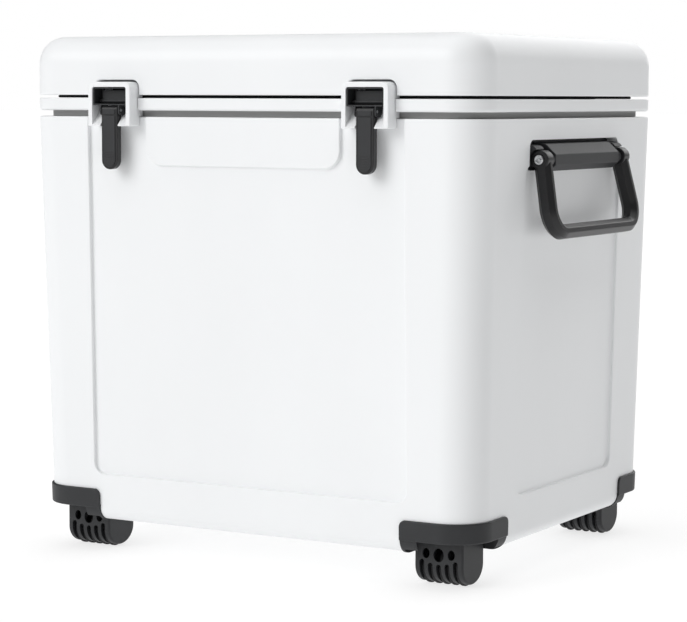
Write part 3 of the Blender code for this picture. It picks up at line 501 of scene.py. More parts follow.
# ---- Shader expressions and finishes ---------------------------------------------
class Term:
    """A socket that can be added, subtracted and multiplied like a number."""

    def __init__(self, paint, socket):
        self.paint = paint
        self.socket = socket

    def math(self, operation, first, second):
        return self.paint.node("ShaderNodeMath", {"operation": operation}, (first, second))

    def __add__(self, other):
        return self.math("ADD", self, other)

    def __sub__(self, other):
        return self.math("SUBTRACT", self, other)

    def __rsub__(self, other):
        return self.math("SUBTRACT", other, self)

    def __mul__(self, other):
        return self.math("MULTIPLY", self, other)

    __radd__ = __add__
    __rmul__ = __mul__


class Paint:
    """One procedural material."""

    def __init__(self, name, metallic=0.0, coat=0.0, specular=0.5):
        self.material = bpy.data.materials.new(name)
        self.material.use_nodes = True
        self.tree = self.material.node_tree
        self.shader = self.tree.nodes["Principled BSDF"]
        self.shader.inputs["Metallic"].default_value = metallic
        self.shader.inputs["Coat Weight"].default_value = coat
        self.shader.inputs["Specular IOR Level"].default_value = specular
        self.place = self.node("ShaderNodeTexCoord", output="Object")

    def node(self, kind, settings=(), values=(), output=0):
        """A node with its settings, the values or terms of its sockets, and one output."""
        made = self.tree.nodes.new(kind)
        for key, value in dict(settings).items():
            if key == "stops":
                for stop, (where, shade) in zip(made.color_ramp.elements, value):
                    stop.position = where
                    stop.color = (shade, shade, shade, 1.0)
            else:
                setattr(made, key, value)
        pairs = values.items() if isinstance(values, dict) else enumerate(values)
        for key, value in pairs:
            if isinstance(value, Term):
                self.tree.links.new(value.socket, made.inputs[key])
            else:
                made.inputs[key].default_value = value
        return Term(self, made.outputs[output])

    def noise(self, scale, detail=3.0, stretch=(1.0, 1.0, 1.0), roughness=0.5):
        spot = self.node("ShaderNodeMapping", values={"Vector": self.place, "Scale": stretch})
        return self.node("ShaderNodeTexNoise", values={
            "Vector": spot, "Scale": scale, "Detail": detail, "Roughness": roughness})

    def ramp(self, term, low, high):
        """0 below the low value, 1 above the high one."""
        return self.node("ShaderNodeMapRange", {"clamp": True},
                         {"Value": term, "From Min": low, "From Max": high})

    def blend(self, mask, first, second):
        """The first colour where the mask is 0, the second where it is 1."""
        first, second = (c if isinstance(c, Term) else (*c, 1.0) for c in (first, second))
        return self.node("ShaderNodeMix", {"data_type": "RGBA"}, {0: mask, 6: first, 7: second},
                         output=2)

    def bump(self, height, depth, strength=1.0):
        return self.node("ShaderNodeBump", values={
            "Height": height, "Distance": depth, "Strength": strength})

    def end(self, colour, roughness, normal):
        for label, term in (("Base Color", colour), ("Roughness", roughness), ("Normal", normal)):
            self.tree.links.new(term.socket, self.shader.inputs[label])
        return self.material


def shade(tone, factor):
    return tuple(min(1.0, c * factor) for c in tone)


def satin_shell(name, tone):
    """Injection-moulded satin plastic: fine grain, slow flow marks and a few faint rubs."""
    paint = Paint(name, coat=0.06)
    grain = paint.noise(2400.0, 2.0)
    flow = paint.noise(7.0, 4.0, (1.0, 1.0, 0.4))
    rubs = paint.ramp(paint.noise(90.0, 5.0, (0.06, 1.0, 1.0), 0.65), 0.66, 0.74)
    tint = paint.blend(paint.ramp(flow, 0.3, 0.7), shade(tone, 0.985), shade(tone, 1.012))
    gloss = 0.40 + 0.06 * flow + 0.05 * grain + 0.10 * rubs
    return paint.end(tint, gloss, paint.bump(grain + 0.2 * rubs, 0.00003, 0.35))


def rim_plastic(name, tone, groove, low, high):
    """The satin plastic, with a grey band of painted shade between two levels, for the groove under the lid."""
    paint = Paint(name, coat=0.05)
    grain = paint.noise(2400.0, 2.0)
    flow = paint.noise(9.0, 4.0)
    level = paint.node("ShaderNodeSeparateXYZ", values=(paint.place,), output="Z")
    # Painted shade: the band between the two levels takes the groove colour, darkening the groove as its shadow
    # would.
    band = paint.ramp(level, low, low + 0.0002) * (1 - paint.ramp(level, high, high + 0.0002))
    clear = paint.blend(paint.ramp(flow, 0.3, 0.7), shade(tone, 0.985), shade(tone, 1.012))
    gloss = 0.42 + 0.06 * flow + 0.15 * band
    return paint.end(paint.blend(band, clear, groove), gloss, paint.bump(grain, 0.00003, 0.35))


def glossy_liner(name, tone):
    """Smooth wipe-clean plastic with faint scratches from use."""
    paint = Paint(name, coat=0.2)
    flow = paint.noise(9.0, 3.0)
    scratches = paint.ramp(paint.noise(160.0, 4.0, (1.0, 0.05, 1.0), 0.7), 0.68, 0.74)
    tint = paint.blend(paint.ramp(flow, 0.3, 0.7), shade(tone, 0.98), tone)
    gloss = 0.24 + 0.08 * flow + 0.22 * scratches
    return paint.end(tint, gloss, paint.bump(flow + 0.3 * scratches, 0.00006, 0.25))


def grained_plastic(name, tone, gloss, depth):
    """Charcoal plastic with a spark-eroded grain."""
    paint = Paint(name, specular=0.32)
    grain = paint.noise(1900.0, 3.0, roughness=0.6)
    cloud = paint.noise(38.0, 4.0)
    rubbed = paint.ramp(paint.noise(150.0, 5.0, (1.0, 1.0, 0.25), 0.7), 0.64, 0.78)
    tint = paint.blend(paint.ramp(cloud, 0.25, 0.75), shade(tone, 0.9), shade(tone, 1.15))
    shine = gloss + 0.08 * grain - 0.06 * rubbed + 0.05 * cloud
    return paint.end(tint, shine, paint.bump(grain, depth, 0.5))


def tread_rubber(name, tone):
    """Dull rubber with a dusty bloom."""
    paint = Paint(name, specular=0.35)
    grain = paint.noise(1300.0, 4.0, roughness=0.65)
    dust = paint.ramp(paint.noise(60.0, 5.0), 0.45, 0.8)
    tint = paint.blend(dust, tone, shade(tone, 2.2))
    return paint.end(tint, 0.66 + 0.14 * grain + 0.06 * dust, paint.bump(grain, 0.00008, 0.6))


def bright_steel(name, tone):
    """Zinc-plated steel with fine turning marks."""
    paint = Paint(name, metallic=1.0)
    lines = paint.noise(420.0, 3.0, (1.0, 12.0, 1.0))
    stain = paint.noise(55.0, 4.0)
    tint = paint.blend(paint.ramp(stain, 0.35, 0.75), tone, shade(tone, 0.86))
    return paint.end(tint, 0.22 + 0.16 * lines + 0.06 * stain, paint.bump(lines, 0.00002, 0.4))


def rigid_foam(name, tone):
    """Foamed-in-place insulation with small closed cells."""
    paint = Paint(name, specular=0.2)
    cells = paint.node("ShaderNodeTexVoronoi", {"feature": "F1"},
                       {"Vector": paint.place, "Scale": 520.0})
    patch = paint.noise(24.0, 4.0)
    tint = paint.blend(paint.ramp(patch, 0.3, 0.7), shade(tone, 0.88), shade(tone, 1.06))
    return paint.end(tint, 0.82 + 0.1 * patch, paint.bump(cells, 0.0004, 0.7))


FINISHES = {
    "white_shell": lambda tones: satin_shell("satin_shell", tones.shell),
    "white_liner": lambda tones: glossy_liner("glossy_liner", tones.liner),
    "dark_plastic": lambda tones: grained_plastic("charcoal_fitting", tones.dark, 0.43, 0.00005),
    "glossy_grip": lambda tones: grained_plastic("bail_plastic", tones.grip, 0.27, 0.00002),
    "wheel_rubber": lambda tones: tread_rubber("tread_rubber", tones.rubber),
    "gasket_rubber": lambda tones: tread_rubber("seal_rubber", tones.rubber),
    "steel": lambda tones: bright_steel("bright_steel", tones.steel),
    "foam": lambda tones: rigid_foam("rigid_foam", tones.foam),
}
MADE = {}


def finish_of(slot):
    if slot not in MADE:
        MADE[slot] = FINISHES[slot](bpy.context.scene.cooler_colours)
    return MADE[slot]


def piece(obj, name, body, slot, *nodes):
    """Names a finished piece, paints it, ties it to its body and hides the imported nodes it stands for."""
    clean(obj)
    smooth(obj)
    obj.name = name
    obj.data.name = name
    obj.data.materials.clear()
    obj.data.materials.append(finish_of(slot))
    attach(obj, body)
    if nodes:
        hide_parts(*nodes)
    return obj


def joint_place(name):
    return next(Vector(j["pos_m"]) for j in frame["joints"] if j["name"] == name)


# ---- The tub ----------------------------------------------------------------------
PANEL_HALF, PANEL_LOW, PANEL_ROUND = 0.181, 0.082, 0.012
TAB_HALF, TAB_LOW, TAB_ROUND = 0.1115, 0.3985, 0.018
SIDE_HALF, SIDE_HIGH = 0.112, 0.402
RECESS_HALF, RECESS_LOW, RECESS_HIGH, RECESS_ROUND = 0.1055, 0.397, 0.4265, 0.007
RECESS_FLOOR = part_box("handle_bracket_right")[0].x - GAP
BAND_INNER_X, BAND_INNER_Y = (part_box("corner_bracket_rear_right")[0][i] - 2 * GAP for i in (0, 1))
WELL_HIGH = 0.050


def tilted(obj, side):
    """Tilts a cutter for the front (side 0) or the +X wall (side 1) to the wall's own lean."""
    taper = bpy.context.scene.cooler_sizes.taper
    tilt = math.atan(taper / (TUB_HIGH.z - TUB_LOW.z))
    hinge = Vector((HALF_X, 0, TUB_HIGH.z)) if side else Vector((0, -HALF_Y, TUB_HIGH.z))
    turn = Matrix.Rotation(tilt, 4, "Y" if side else "X")
    obj.data.transform(Matrix.Translation(hinge) @ turn @ Matrix.Translation(-hinge))
    return obj


def front_panel_tool():
    over = TUB_HIGH.z + OVER
    outline = rounded_outline([
        (-PANEL_HALF, PANEL_LOW, PANEL_ROUND), (PANEL_HALF, PANEL_LOW, PANEL_ROUND),
        (PANEL_HALF, over, 0), (TAB_HALF, over, 0),
        (TAB_HALF, TAB_LOW, TAB_ROUND), (-TAB_HALF, TAB_LOW, TAB_ROUND),
        (-TAB_HALF, over, 0), (-PANEL_HALF, over, 0),
    ], steps=12)
    depth = bpy.context.scene.cooler_sizes.panel_depth
    return tilted(prism(outline, "XZ", -HALF_Y - OVER, -HALF_Y + depth), 0)


def side_panel_tool(side):
    outline = rectangle(SIDE_HALF, PANEL_LOW, SIDE_HIGH, (PANEL_ROUND,) * 4, 12)
    depth = bpy.context.scene.cooler_sizes.side_depth
    return moved(tilted(prism(outline, "YZ", HALF_X - depth, HALF_X + OVER), 1), (side, 1, 1))


def recess_tool(side):
    outline = rectangle(RECESS_HALF, RECESS_LOW, RECESS_HIGH, (RECESS_ROUND,) * 4)
    return moved(prism(outline, "YZ", RECESS_FLOOR, HALF_X + OVER), (side, 1, 1))


def well_tool(side, end):
    low = (BAND_INNER_X + GAP, BAND_INNER_Y + GAP, 0.0)
    return moved(box(low, (HALF_X + OVER, HALF_Y + OVER, WELL_HIGH)), (side, end, 1))


def drain_tool(radius):
    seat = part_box("drain_fitting")
    middle = (seat[0] + seat[1]) / 2
    return cylinder(middle, radius, 0.12, "Y", 64)


def tub_form(inset, soft_top):
    sizes = bpy.context.scene.cooler_sizes
    form = rounded_box(HALF_X - inset, HALF_Y - inset, TUB_LOW.z + inset, TUB_HIGH.z - inset,
                       sizes.corner - inset, bottom=sizes.foot_round - inset)
    lean(form, sizes.taper, TUB_LOW.z, TUB_HIGH.z)
    if soft_top:
        cut(form, front_panel_tool(), side_panel_tool(1), side_panel_tool(-1))
        soften(form, sizes.soft, 4, SHELL_ANGLE)
    return form


class COOLER_OT_tub(bpy.types.Operator):
    """Builds the tub's outer skin, with its sunk panels, handle recesses and wheel corners"""

    bl_idname = "cooler.tub"
    bl_label = "Tub Skin"

    def execute(self, context):
        sizes = context.scene.cooler_sizes
        skin = tub_form(0.0, True)
        tools = [recess_tool(side) for side, _ in SIDES]
        tools += [well_tool(side, end) for side, _ in SIDES for end, _ in ENDS]
        hollow = rounded_box(HALF_X - 2 * sizes.wall - 0.012, HALF_Y - 2 * sizes.wall - 0.006,
                             WELL_HIGH + sizes.wall, TUB_HIGH.z + OVER, sizes.corner - 0.012,
                             steps=8)
        tools += [lean(hollow, sizes.taper, TUB_LOW.z, TUB_HIGH.z), drain_tool(DRAIN_HOLE)]
        piece(cut(skin, *tools), "tub_skin", "tub", "white_shell", "outer_shell")
        return {"FINISHED"}


class COOLER_OT_rim(bpy.types.Operator):
    """Builds the rim that closes the tub's walls under the lid"""

    bl_idname = "cooler.rim"
    bl_label = "Rim"

    def execute(self, context):
        sizes = context.scene.cooler_sizes
        foot = RIM_LOW.z + 0.0057
        ring = rounded_box(HALF_X, HALF_Y, foot, RIM_HIGH.z, sizes.corner, bottom=0.003,
                           top=0.0012, edge_steps=5)
        inset = 0.012
        neck = rounded_box(HALF_X - inset, HALF_Y - inset, RIM_LOW.z, foot + 0.002,
                           sizes.corner - 0.008)
        mouth = liner_form(-GAP, RIM_HIGH.z + OVER)
        tools = [mouth]
        for side, word in SIDES:
            low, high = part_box(f"latch_bezel_{word}")
            room = 0.0007
            tools.append(box((low.x - room, -1, foot - 0.003), (high.x + room, high.y + GAP, 1)))
        rim = piece(cut(join(ring, neck), *tools), "rim_skin", "tub", "white_shell", "rim_frame")
        tones = context.scene.cooler_colours
        # The neck band is painted grey, as painted shade in the groove under the lid.
        rim.data.materials[0] = rim_plastic("rim_plastic", tones.shell, tones.neck,
                                            RIM_LOW.z - 0.001, foot + 0.0002)
        return {"FINISHED"}


def liner_form(inset, high):
    sizes = bpy.context.scene.cooler_sizes
    form = rounded_box(HALF_X - sizes.insulation - inset, HALF_Y - sizes.insulation - inset,
                       LINER_LOW.z + inset, high, sizes.corner - 0.012 - inset,
                       bottom=0.008 - inset, steps=14)
    return lean(form, sizes.liner_taper, LINER_LOW.z, LINER_HIGH.z)


class COOLER_OT_liner(bpy.types.Operator):
    """Builds the food liner and the drain through the rear wall"""

    bl_idname = "cooler.liner"
    bl_label = "Liner and Drain"

    def execute(self, context):
        sizes = context.scene.cooler_sizes
        shell = cut(liner_form(0.0, LINER_HIGH.z), liner_form(sizes.liner_wall, 1.0),
                    drain_tool(DRAIN_HOLE))
        piece(shell, "food_liner", "tub", "white_liner", "inner_liner")
        low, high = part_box("drain_fitting")
        bore, tube, flange = 0.0078, 0.0105, (high.x - low.x) / 2
        at = ((low.x + high.x) / 2, 0, (low.z + high.z) / 2)
        seat = high.y - 0.004
        ring = [(bore, high.y - 0.0006), (bore + 0.0006, high.y), (flange - 0.0026, high.y),
                (flange - 0.0008, high.y - 0.0008), (flange, high.y - 0.0022), (flange, seat),
                (tube, seat), (tube, low.y), (bore, low.y)]
        piece(turned(ring, at, "Y"), "drain_flange", "tub", "dark_plastic", "drain_fitting")
        low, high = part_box("drain_plug")
        rim, knob = (high.x - low.x) / 2, 0.0118
        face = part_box("drain_fitting")[1].y + GAP
        head = [(0, high.y - 0.0008), (0.006, high.y - 0.0004), (0.0085, high.y),
                (0.0112, high.y), (knob, high.y - 0.0008), (knob, face + 0.0022),
                (rim, face + 0.0014), (rim, face), (bore - 0.0004, face),
                (bore - 0.0010, low.y), (0, low.y)]
        plug = turned(head, at, "Y")
        ridge = box((-0.0007, -0.0006, 0), (0.0007, 0.0006, high.y - face - 0.0032), 0.0004, 2)
        ridges = grow("ring", bare_host(), finish_of("dark_plastic"), Piece=ridge, Count=24,
                      Radius=knob, Centre=(at[0], face + 0.002, at[2]))
        piece(plug, "drain_plug_head", "drain_plug", "dark_plastic", "drain_plug")
        piece(ridges, "drain_plug_ridges", "drain_plug", "dark_plastic")
        return {"FINISHED"}


# ---- The lid ----------------------------------------------------------------------
NOTCH_HALF, NOTCH_HIGH, NOTCH_BACK, NOTCH_ROUND = 0.027, 0.4835, -0.199, 0.008


def notch_tool(side, inset):
    outline = rectangle(NOTCH_HALF + inset, LID_LOW.z - 0.03, NOTCH_HIGH + inset,
                        (0, 0, NOTCH_ROUND + inset, NOTCH_ROUND + inset))
    middle = (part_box("latch_bezel_right")[0].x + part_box("latch_bezel_right")[1].x) / 2
    tool = prism(outline, "XZ", -HALF_Y - OVER, NOTCH_BACK + inset)
    return moved(tool, (1, 1, 1), (side * middle, 0, 0))


def lid_form(inset, low, soft=0.0):
    sizes = bpy.context.scene.cooler_sizes
    form = rounded_box(HALF_X - inset, HALF_Y - inset, low, LID_HIGH.z - inset,
                       sizes.corner - inset, top=sizes.lid_round - inset, edge_steps=14)
    cut(form, notch_tool(1, inset), notch_tool(-1, inset))
    if soft:
        soften(form, soft, 4, SHELL_ANGLE)
    return form


class COOLER_OT_lid(bpy.types.Operator):
    """Builds the lid's skin, its inner deck and the seal under it"""

    bl_idname = "cooler.lid"
    bl_label = "Lid"

    def execute(self, context):
        sizes = context.scene.cooler_sizes
        skin = lid_form(0.0, LID_LOW.z, sizes.soft)
        piece(cut(skin, lid_form(sizes.wall, LID_LOW.z - 0.01)), "lid_skin", "lid",
              "white_shell", "lid_shell")

        deck = lid_form(sizes.wall + GAP, LID_LOW.z + GAP)
        cut(deck, box((-1, -1, DECK_HIGH.z), (1, 1, 1)))
        inset = sizes.insulation + 0.008
        plug = rounded_box(HALF_X - inset, HALF_Y - inset, DECK_LOW.z, DECK_HIGH.z - 0.001,
                           sizes.corner - 0.020, bottom=0.004, steps=14, edge_steps=6)
        field = rounded_box(HALF_X - inset - 0.022, HALF_Y - inset - 0.022, DECK_LOW.z - 0.01,
                            DECK_LOW.z + 0.0012, 0.012, steps=10)
        piece(cut(join(deck, plug), field), "lid_deck", "lid", "white_liner", "lid_liner")

        low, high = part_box("lid_gasket")
        half = 0.003
        path = wire(rectangle(high.x - half, -high.y + half, high.y - half, (0.023,) * 4, 12), True)
        rise = (high.z - low.z) / 2
        bulb = [(half * math.copysign(abs(math.cos(t)) ** 0.6, math.cos(t)),
                 rise * math.copysign(abs(math.sin(t)) ** 0.6, math.sin(t)))
                for t in (2 * math.pi * (k + 0.5) / 20 for k in range(20))]
        seal = grow("sweep", path, finish_of("gasket_rubber"), Section=wire(bulb, True))
        moved(seal, (1, 1, 1), (0, 0, (low.z + high.z) / 2))
        piece(seal, "lid_seal", "lid", "gasket_rubber", "lid_gasket")
        return {"FINISHED"}


# ---- The latches ------------------------------------------------------------------
def bezel(low, high):
    """The white frame of a latch, with the ramp that the lever hangs in."""
    middle, half = (low.x + high.x) / 2, (high.x - low.x) / 2
    pocket, pocket_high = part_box("latch_pocket_right")
    window_half = pocket_high.x - (pocket.x + pocket_high.x) / 2 + GAP
    floor, top = 0.458, pocket_high.z + GAP
    lever, lever_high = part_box("latch_lever_right")
    lever_half = (lever_high.x - lever.x) / 2
    body = prism(rectangle(half, low.z, high.z, (0, 0, 0.0065, 0.0065)), "XZ", low.y, high.y)
    soften(body, 0.0012, 4)
    through = prism(rectangle(window_half, floor, top, (0, 0, 0.0022, 0.0022)), "XZ",
                    low.y - 0.01, high.y + 0.01)
    ramp = prism([(low.y - 0.0005, low.z + 0.0006), (high.y - 0.003, floor + 0.001),
                  (low.y - 0.0005, floor + 0.001)], "YZ", -window_half, window_half)
    slot_back = (lever.y + lever_high.y) / 2 + 0.010
    slot = box((-lever_half - 0.001, low.y - 0.01, low.z - 0.01),
               (lever_half + 0.001, slot_back, floor + 0.001))
    ear_half = lever_half + 0.0026
    ear_low = joint_place("latch_lever_right_turn").z - 0.0055
    ears = box((-ear_half, low.y - 0.01, ear_low), (ear_half, slot_back + 0.0008, floor + 0.001))
    sizes = bpy.context.scene.cooler_sizes
    behind = box((-1, -HALF_Y + sizes.panel_depth - 0.0004, 0), (1, 1, TUB_HIGH.z + GAP))
    return moved(cut(body, through, ramp, slot, ears, behind), (1, 1, 1), (middle, 0, 0))


def lever(low, high):
    """A lever: its blade with sloped borders, and the raised face with the head above it."""
    half, thick = (high.x - low.x) / 2, high.y - low.y
    face, raised, border = low.y, 0.0008, 0.0024
    body = prism(rectangle(half, low.z, high.z, (half - 0.0001,) * 2 + (0.0014,) * 2, 14), "XZ",
                 face + raised, high.y)
    side = rounded_outline([(face + raised, low.z - 0.001, 0.001), (high.y, low.z - 0.001, 0.002),
                            (high.y, high.z, thick / 2 - 0.0002),
                            (face + raised, high.z, thick / 2 - 0.0006)], steps=8)
    keep(body, prism(side, "YZ", -OVER, OVER))
    soften(body, 0.0007, 3, math.radians(45))
    inner, root = half - border, face + 0.0030
    pad = prism(rectangle(inner, low.z + border, high.z - 0.0096,
                          (inner - 0.0001,) * 2 + (raised,) * 2, 12), "XZ", face, root)
    head = prism(rectangle(inner, high.z - 0.0082, high.z - 0.0030, (raised,) * 4, 5), "XZ",
                 face, root)
    for part in (pad, head):
        soften(part, 0.0005, 2, math.radians(60))
    return body, join(pad, head)


class COOLER_OT_latches(bpy.types.Operator):
    """Builds both draw latches: bezel, pocket, lever, claw and keeper"""

    bl_idname = "cooler.latches"
    bl_label = "Latches"

    def execute(self, context):
        low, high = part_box("latch_bezel_right")
        lever_low, lever_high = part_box("latch_lever_right")
        middle = (low.x + high.x) / 2
        for side, word in SIDES:
            flip = (side, 1, 1)
            piece(moved(bezel(low, high), flip), f"bezel_{word}", "tub", "white_shell",
                  f"latch_bezel_{word}")
            piece(soft_copy(f"latch_pocket_{word}", 0.0002), f"pocket_{word}", "tub",
                  "dark_plastic", f"latch_pocket_{word}")
            body = f"latch_lever_{word}"
            blade, face = lever(lever_low, lever_high)
            for part, name, nodes in ((blade, "lever", (body,)), (face, "lever_face", ())):
                piece(moved(part, (1, 1, 1), (side * middle, 0, 0)), f"{name}_{word}", body,
                      "dark_plastic", *nodes)
            blade.data.materials[0] = finish_of("glossy_grip")
            ridge = box((-0.0058, 0, -0.0005), (0.0058, 0.0006, 0.0005), 0.0002, 2)
            start = (side * middle, lever_low.y - 0.0002, lever_low.z + 0.0050)
            ridges = grow("row", bare_host(), finish_of("dark_plastic"), Piece=ridge, Count=6,
                          Start=start, Step=(0, 0, 0.0024))
            piece(ridges, f"lever_ridges_{word}", body, "dark_plastic")
            ridges.data.materials[0] = finish_of("glossy_grip")
            piece(soft_copy(f"latch_hook_{word}", 0.0003), f"claw_{word}", f"latch_hook_{word}",
                  "dark_plastic", f"latch_hook_{word}")
            piece(soft_copy(f"lid_keeper_{word}", 0.0003), f"keeper_{word}", "lid",
                  "dark_plastic", f"lid_keeper_{word}")
        return {"FINISHED"}


# ---- The carrying handles ---------------------------------------------------------
BAIL_DROP, BAIL_TILT, BAIL_BEND = 0.0710, math.radians(11.5), 0.021
LEG_Y, GRIP_Y, BOSS = 0.0925, 0.1015, 0.0092
BLOCK_HALF, CHEEK_END = 0.0765, 0.1040


def bracket(pivot):
    """The recess plate, the six-sided block between the legs, and a cheek behind each leg."""
    floor = RECESS_FLOOR + GAP
    outline = rectangle(RECESS_HALF - GAP, RECESS_LOW + GAP, RECESS_HIGH - GAP, (RECESS_ROUND,) * 4)
    plate = soften(prism(outline, "YZ", floor, floor + 0.003), 0.0006, 2)
    root, front = floor + 0.001, pivot.x + 0.0065
    section = [(root, pivot.z - 0.0085), (pivot.x - 0.001, pivot.z - 0.0115),
               (front, pivot.z - 0.0055), (front, pivot.z + 0.0050),
               (pivot.x - 0.0045, pivot.z + 0.0150), (root, pivot.z + 0.0165)]
    block = soften(prism(section, "XZ", -BLOCK_HALF, BLOCK_HALF), 0.0009, 3)
    parts = [block]
    for end in (1, -1):
        parts.append(cylinder((pivot.x, end * (BLOCK_HALF + 0.0035), pivot.z), 0.0060, 0.0090, "Y"))
        low, high = pivot.z - 0.0070, pivot.z + 0.0155
        outline = rounded_outline([(root, low, 0), (pivot.x - 0.001, low, 0.002),
                                   (pivot.x - 0.001, high - 0.002, 0.007), (root, high, 0)], 8)
        inner = LEG_Y - bpy.context.scene.cooler_sizes.bail_wide
        cheek = soften(prism(outline, "XZ", *sorted((end * inner, end * CHEEK_END))), 0.0008, 3)
        room = BOSS + 0.0010
        cut(cheek, cylinder((pivot.x, end * LEG_Y, pivot.z), room, 0.03, "Y", 64),
            box((pivot.x - room, -1, 0), (1, 1, pivot.z)))
        parts.append(cheek)
    return join(plate, *parts)


def bail(pivot):
    """A swept eight-sided section with round heads on the pivot screws."""
    sizes = bpy.context.scene.cooler_sizes
    half, deep, facet = sizes.bail_wide, sizes.bail_deep, 0.0046
    corners = [(half - facet, deep), (half, deep - facet), (half, facet - deep),
               (half - facet, -deep)]
    corners += [(-u, v) for u, v in reversed(corners)]
    edge = 0.0014
    section = rounded_outline([(u, v, edge) for u, v in reversed(corners)], 4)
    path = rounded_outline([(LEG_Y, 0.004, 0), (GRIP_Y, BAIL_DROP, BAIL_BEND),
                            (-GRIP_Y, BAIL_DROP, BAIL_BEND), (-LEG_Y, 0.004, 0)], 14)
    swept = grow("sweep", wire(path, False), finish_of("glossy_grip"), Section=wire(section, True))
    down, out = math.cos(BAIL_TILT), math.sin(BAIL_TILT)
    place = Matrix(((0, out, down, pivot.x), (1, 0, 0, 0), (0, -down, out, pivot.z), (0, 0, 0, 1)))
    swept.data.transform(place)
    profile = rolled(0, BOSS, half, 0.0012)
    return join(swept, *(turned(profile, (pivot.x, end * LEG_Y, pivot.z), "Y")
                         for end in (1, -1)))


def pivot_screw(low, high, pivot, end):
    """A screw with a rounded ring, a recess with a button in its middle, and a plain shank."""
    face = LEG_Y + bpy.context.scene.cooler_sizes.bail_wide + 0.0004
    head, shank = (high.x - low.x) / 2, 0.0025
    tip = BLOCK_HALF - 0.008
    profile = [(0, 0.0018), (0.0012, 0.0018), (0.0016, 0.0014), (0.0016, 0.0003), (0.0029, 0.0003),
               (0.0029, 0.0021), (0.0032, 0.0024), (head - 0.0009, 0.0024), (head - 0.0003, 0.0021),
               (head, 0.0015), (head, 0.0), (shank, 0.0), (shank, tip - face), (0, tip - face)]
    return moved(turned(profile, (pivot.x, face, pivot.z), "Y"), (1, end, 1))


class COOLER_OT_handles(bpy.types.Operator):
    """Builds both carrying handles: bracket, bail and pivot screws"""

    bl_idname = "cooler.handles"
    bl_label = "Carrying Handles"

    def execute(self, context):
        pivot = joint_place("handle_bail_right_swing")
        low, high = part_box("handle_screw_right_front")
        for side, word in SIDES:
            flip = (side, 1, 1)
            piece(moved(bracket(pivot), flip), f"bracket_{word}", "tub", "dark_plastic",
                  f"handle_bracket_{word}")
            piece(moved(bail(pivot), flip), f"bail_{word}", f"handle_bail_{word}", "glossy_grip",
                  f"handle_bail_{word}")
            for end, place in ENDS:
                screw = moved(pivot_screw(low, high, pivot, end), flip)
                piece(screw, f"pivot_screw_{word}_{place}", "tub", "steel",
                      f"handle_screw_{word}_{place}")
        return {"FINISHED"}


# ---- The wheels, their housings and the corner bumpers -----------------------------
BAND_TOP, BAND_PROUD, BAND_ROUND = 0.0665, 0.0026, 0.007
TAIL_LENGTH, TAIL_PROUD, BUMPER_WALL = 0.018, 0.0012, 0.003
RIB_COUNT, CORE = 5, 0.0145
VENTS = ((0.0, 0.0315, 0.0055, 0.0066), (-0.0135, 0.0325, 0.0038, 0.0050),
         (0.0135, 0.0325, 0.0038, 0.0050))  # x, z, half width, half height


def corner_form(proud, low, high, bottom=0.0):
    sizes = bpy.context.scene.cooler_sizes
    form = rounded_box(HALF_X + proud, HALF_Y + proud, low, high, sizes.corner + proud,
                       bottom=bottom)
    return lean(form, sizes.taper, TUB_LOW.z, TUB_HIGH.z)


def bumper():
    """A band round the corner, with a roof, two short walls and two tails."""
    sizes = bpy.context.scene.cooler_sizes
    x0, y0 = BAND_INNER_X + 2 * GAP, BAND_INNER_Y + 2 * GAP
    edge_x, edge_y = HALF_X - sizes.taper, HALF_Y - sizes.taper
    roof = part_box("wheel_housing_rear_right")[1].z + GAP
    far = 0.4
    band = soften(corner_form(BAND_PROUD, roof, BAND_TOP), 0.0014, 4)
    cut(band, corner_form(GAP, WELL_HIGH - GAP, BAND_TOP + 0.01))
    skirt = corner_form(TAIL_PROUD, TUB_LOW.z - TAIL_PROUD, BAND_TOP,
                        sizes.foot_round + TAIL_PROUD)
    cut(skirt, box((-1, -1, roof + 0.001), (1, 1, 1)))
    well = box((x0 + BUMPER_WALL, y0 + BUMPER_WALL, 0),
               (edge_x - BUMPER_WALL, edge_y - BUMPER_WALL, BAND_TOP))
    corner = box((x0 + TAIL_LENGTH, y0 + TAIL_LENGTH, 0), (far, far, BAND_TOP))
    join(band, cut(skirt, well, corner))
    for plane, start in (("XZ", x0), ("YZ", y0)):
        outline = rounded_outline([(start, 0, 0), (far, 0, 0), (far, BAND_TOP + GAP, 0),
                                   (start, BAND_TOP + GAP, BAND_ROUND)])
        keep(band, prism(outline, plane, -far, far))
    return band


def housing(low, high):
    """A shroud with a U-shaped side, three vents in front and five slots round the bottom."""
    sizes = bpy.context.scene.cooler_sizes
    half_x, half_y, bend = (high.x - low.x) / 2, (high.y - low.y) / 2, 0.020
    wheel = joint_place("wheel_front_right_roll").z
    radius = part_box("wheel_front_right")[1].z - wheel
    drop = bend - low.z
    arc = [(half_y * math.cos(t), bend - drop * math.sin(t))
           for t in (math.pi * k / 32 for k in range(33))]
    body = prism([(half_y, high.z), *arc, (-half_y, high.z)], "YZ", -half_x, half_x)
    soften(body, 0.0022, 5, math.radians(60))
    slot = 0.0026
    rib_half = (RIB_COUNT - 1) / 2 * sizes.rib_pitch + slot
    room = 0.0008
    cavity = box((-rib_half, -radius - room, bend - 0.001),
                 (rib_half, radius + room, high.z - 0.003))
    throat = cylinder((0, 0, wheel), CORE + room, 2 * rib_half, "X")
    cut(body, cavity, throat)
    for k in range(RIB_COUNT):
        x = (k - (RIB_COUNT - 1) / 2) * sizes.rib_pitch
        top = 0.0225 + 0.004 * (x / (2 * sizes.rib_pitch)) ** 2
        arch = [(x - slot, -0.01), (x + slot, -0.01)]
        arch += [(x + slot * math.cos(t), top - slot + slot * math.sin(t))
                 for t in (math.pi * j / 10 for j in range(11))]
        cut(body, prism(arch, "XZ", -0.03, 0.03))
    for x, z, wide, tall in VENTS:
        ring = [(x + wide * math.cos(t), z + tall * math.sin(t))
                for t in (2 * math.pi * j / 32 for j in range(32))]
        cut(body, prism(ring, "XZ", -half_y - 0.01, -half_y + 0.006))
    return body


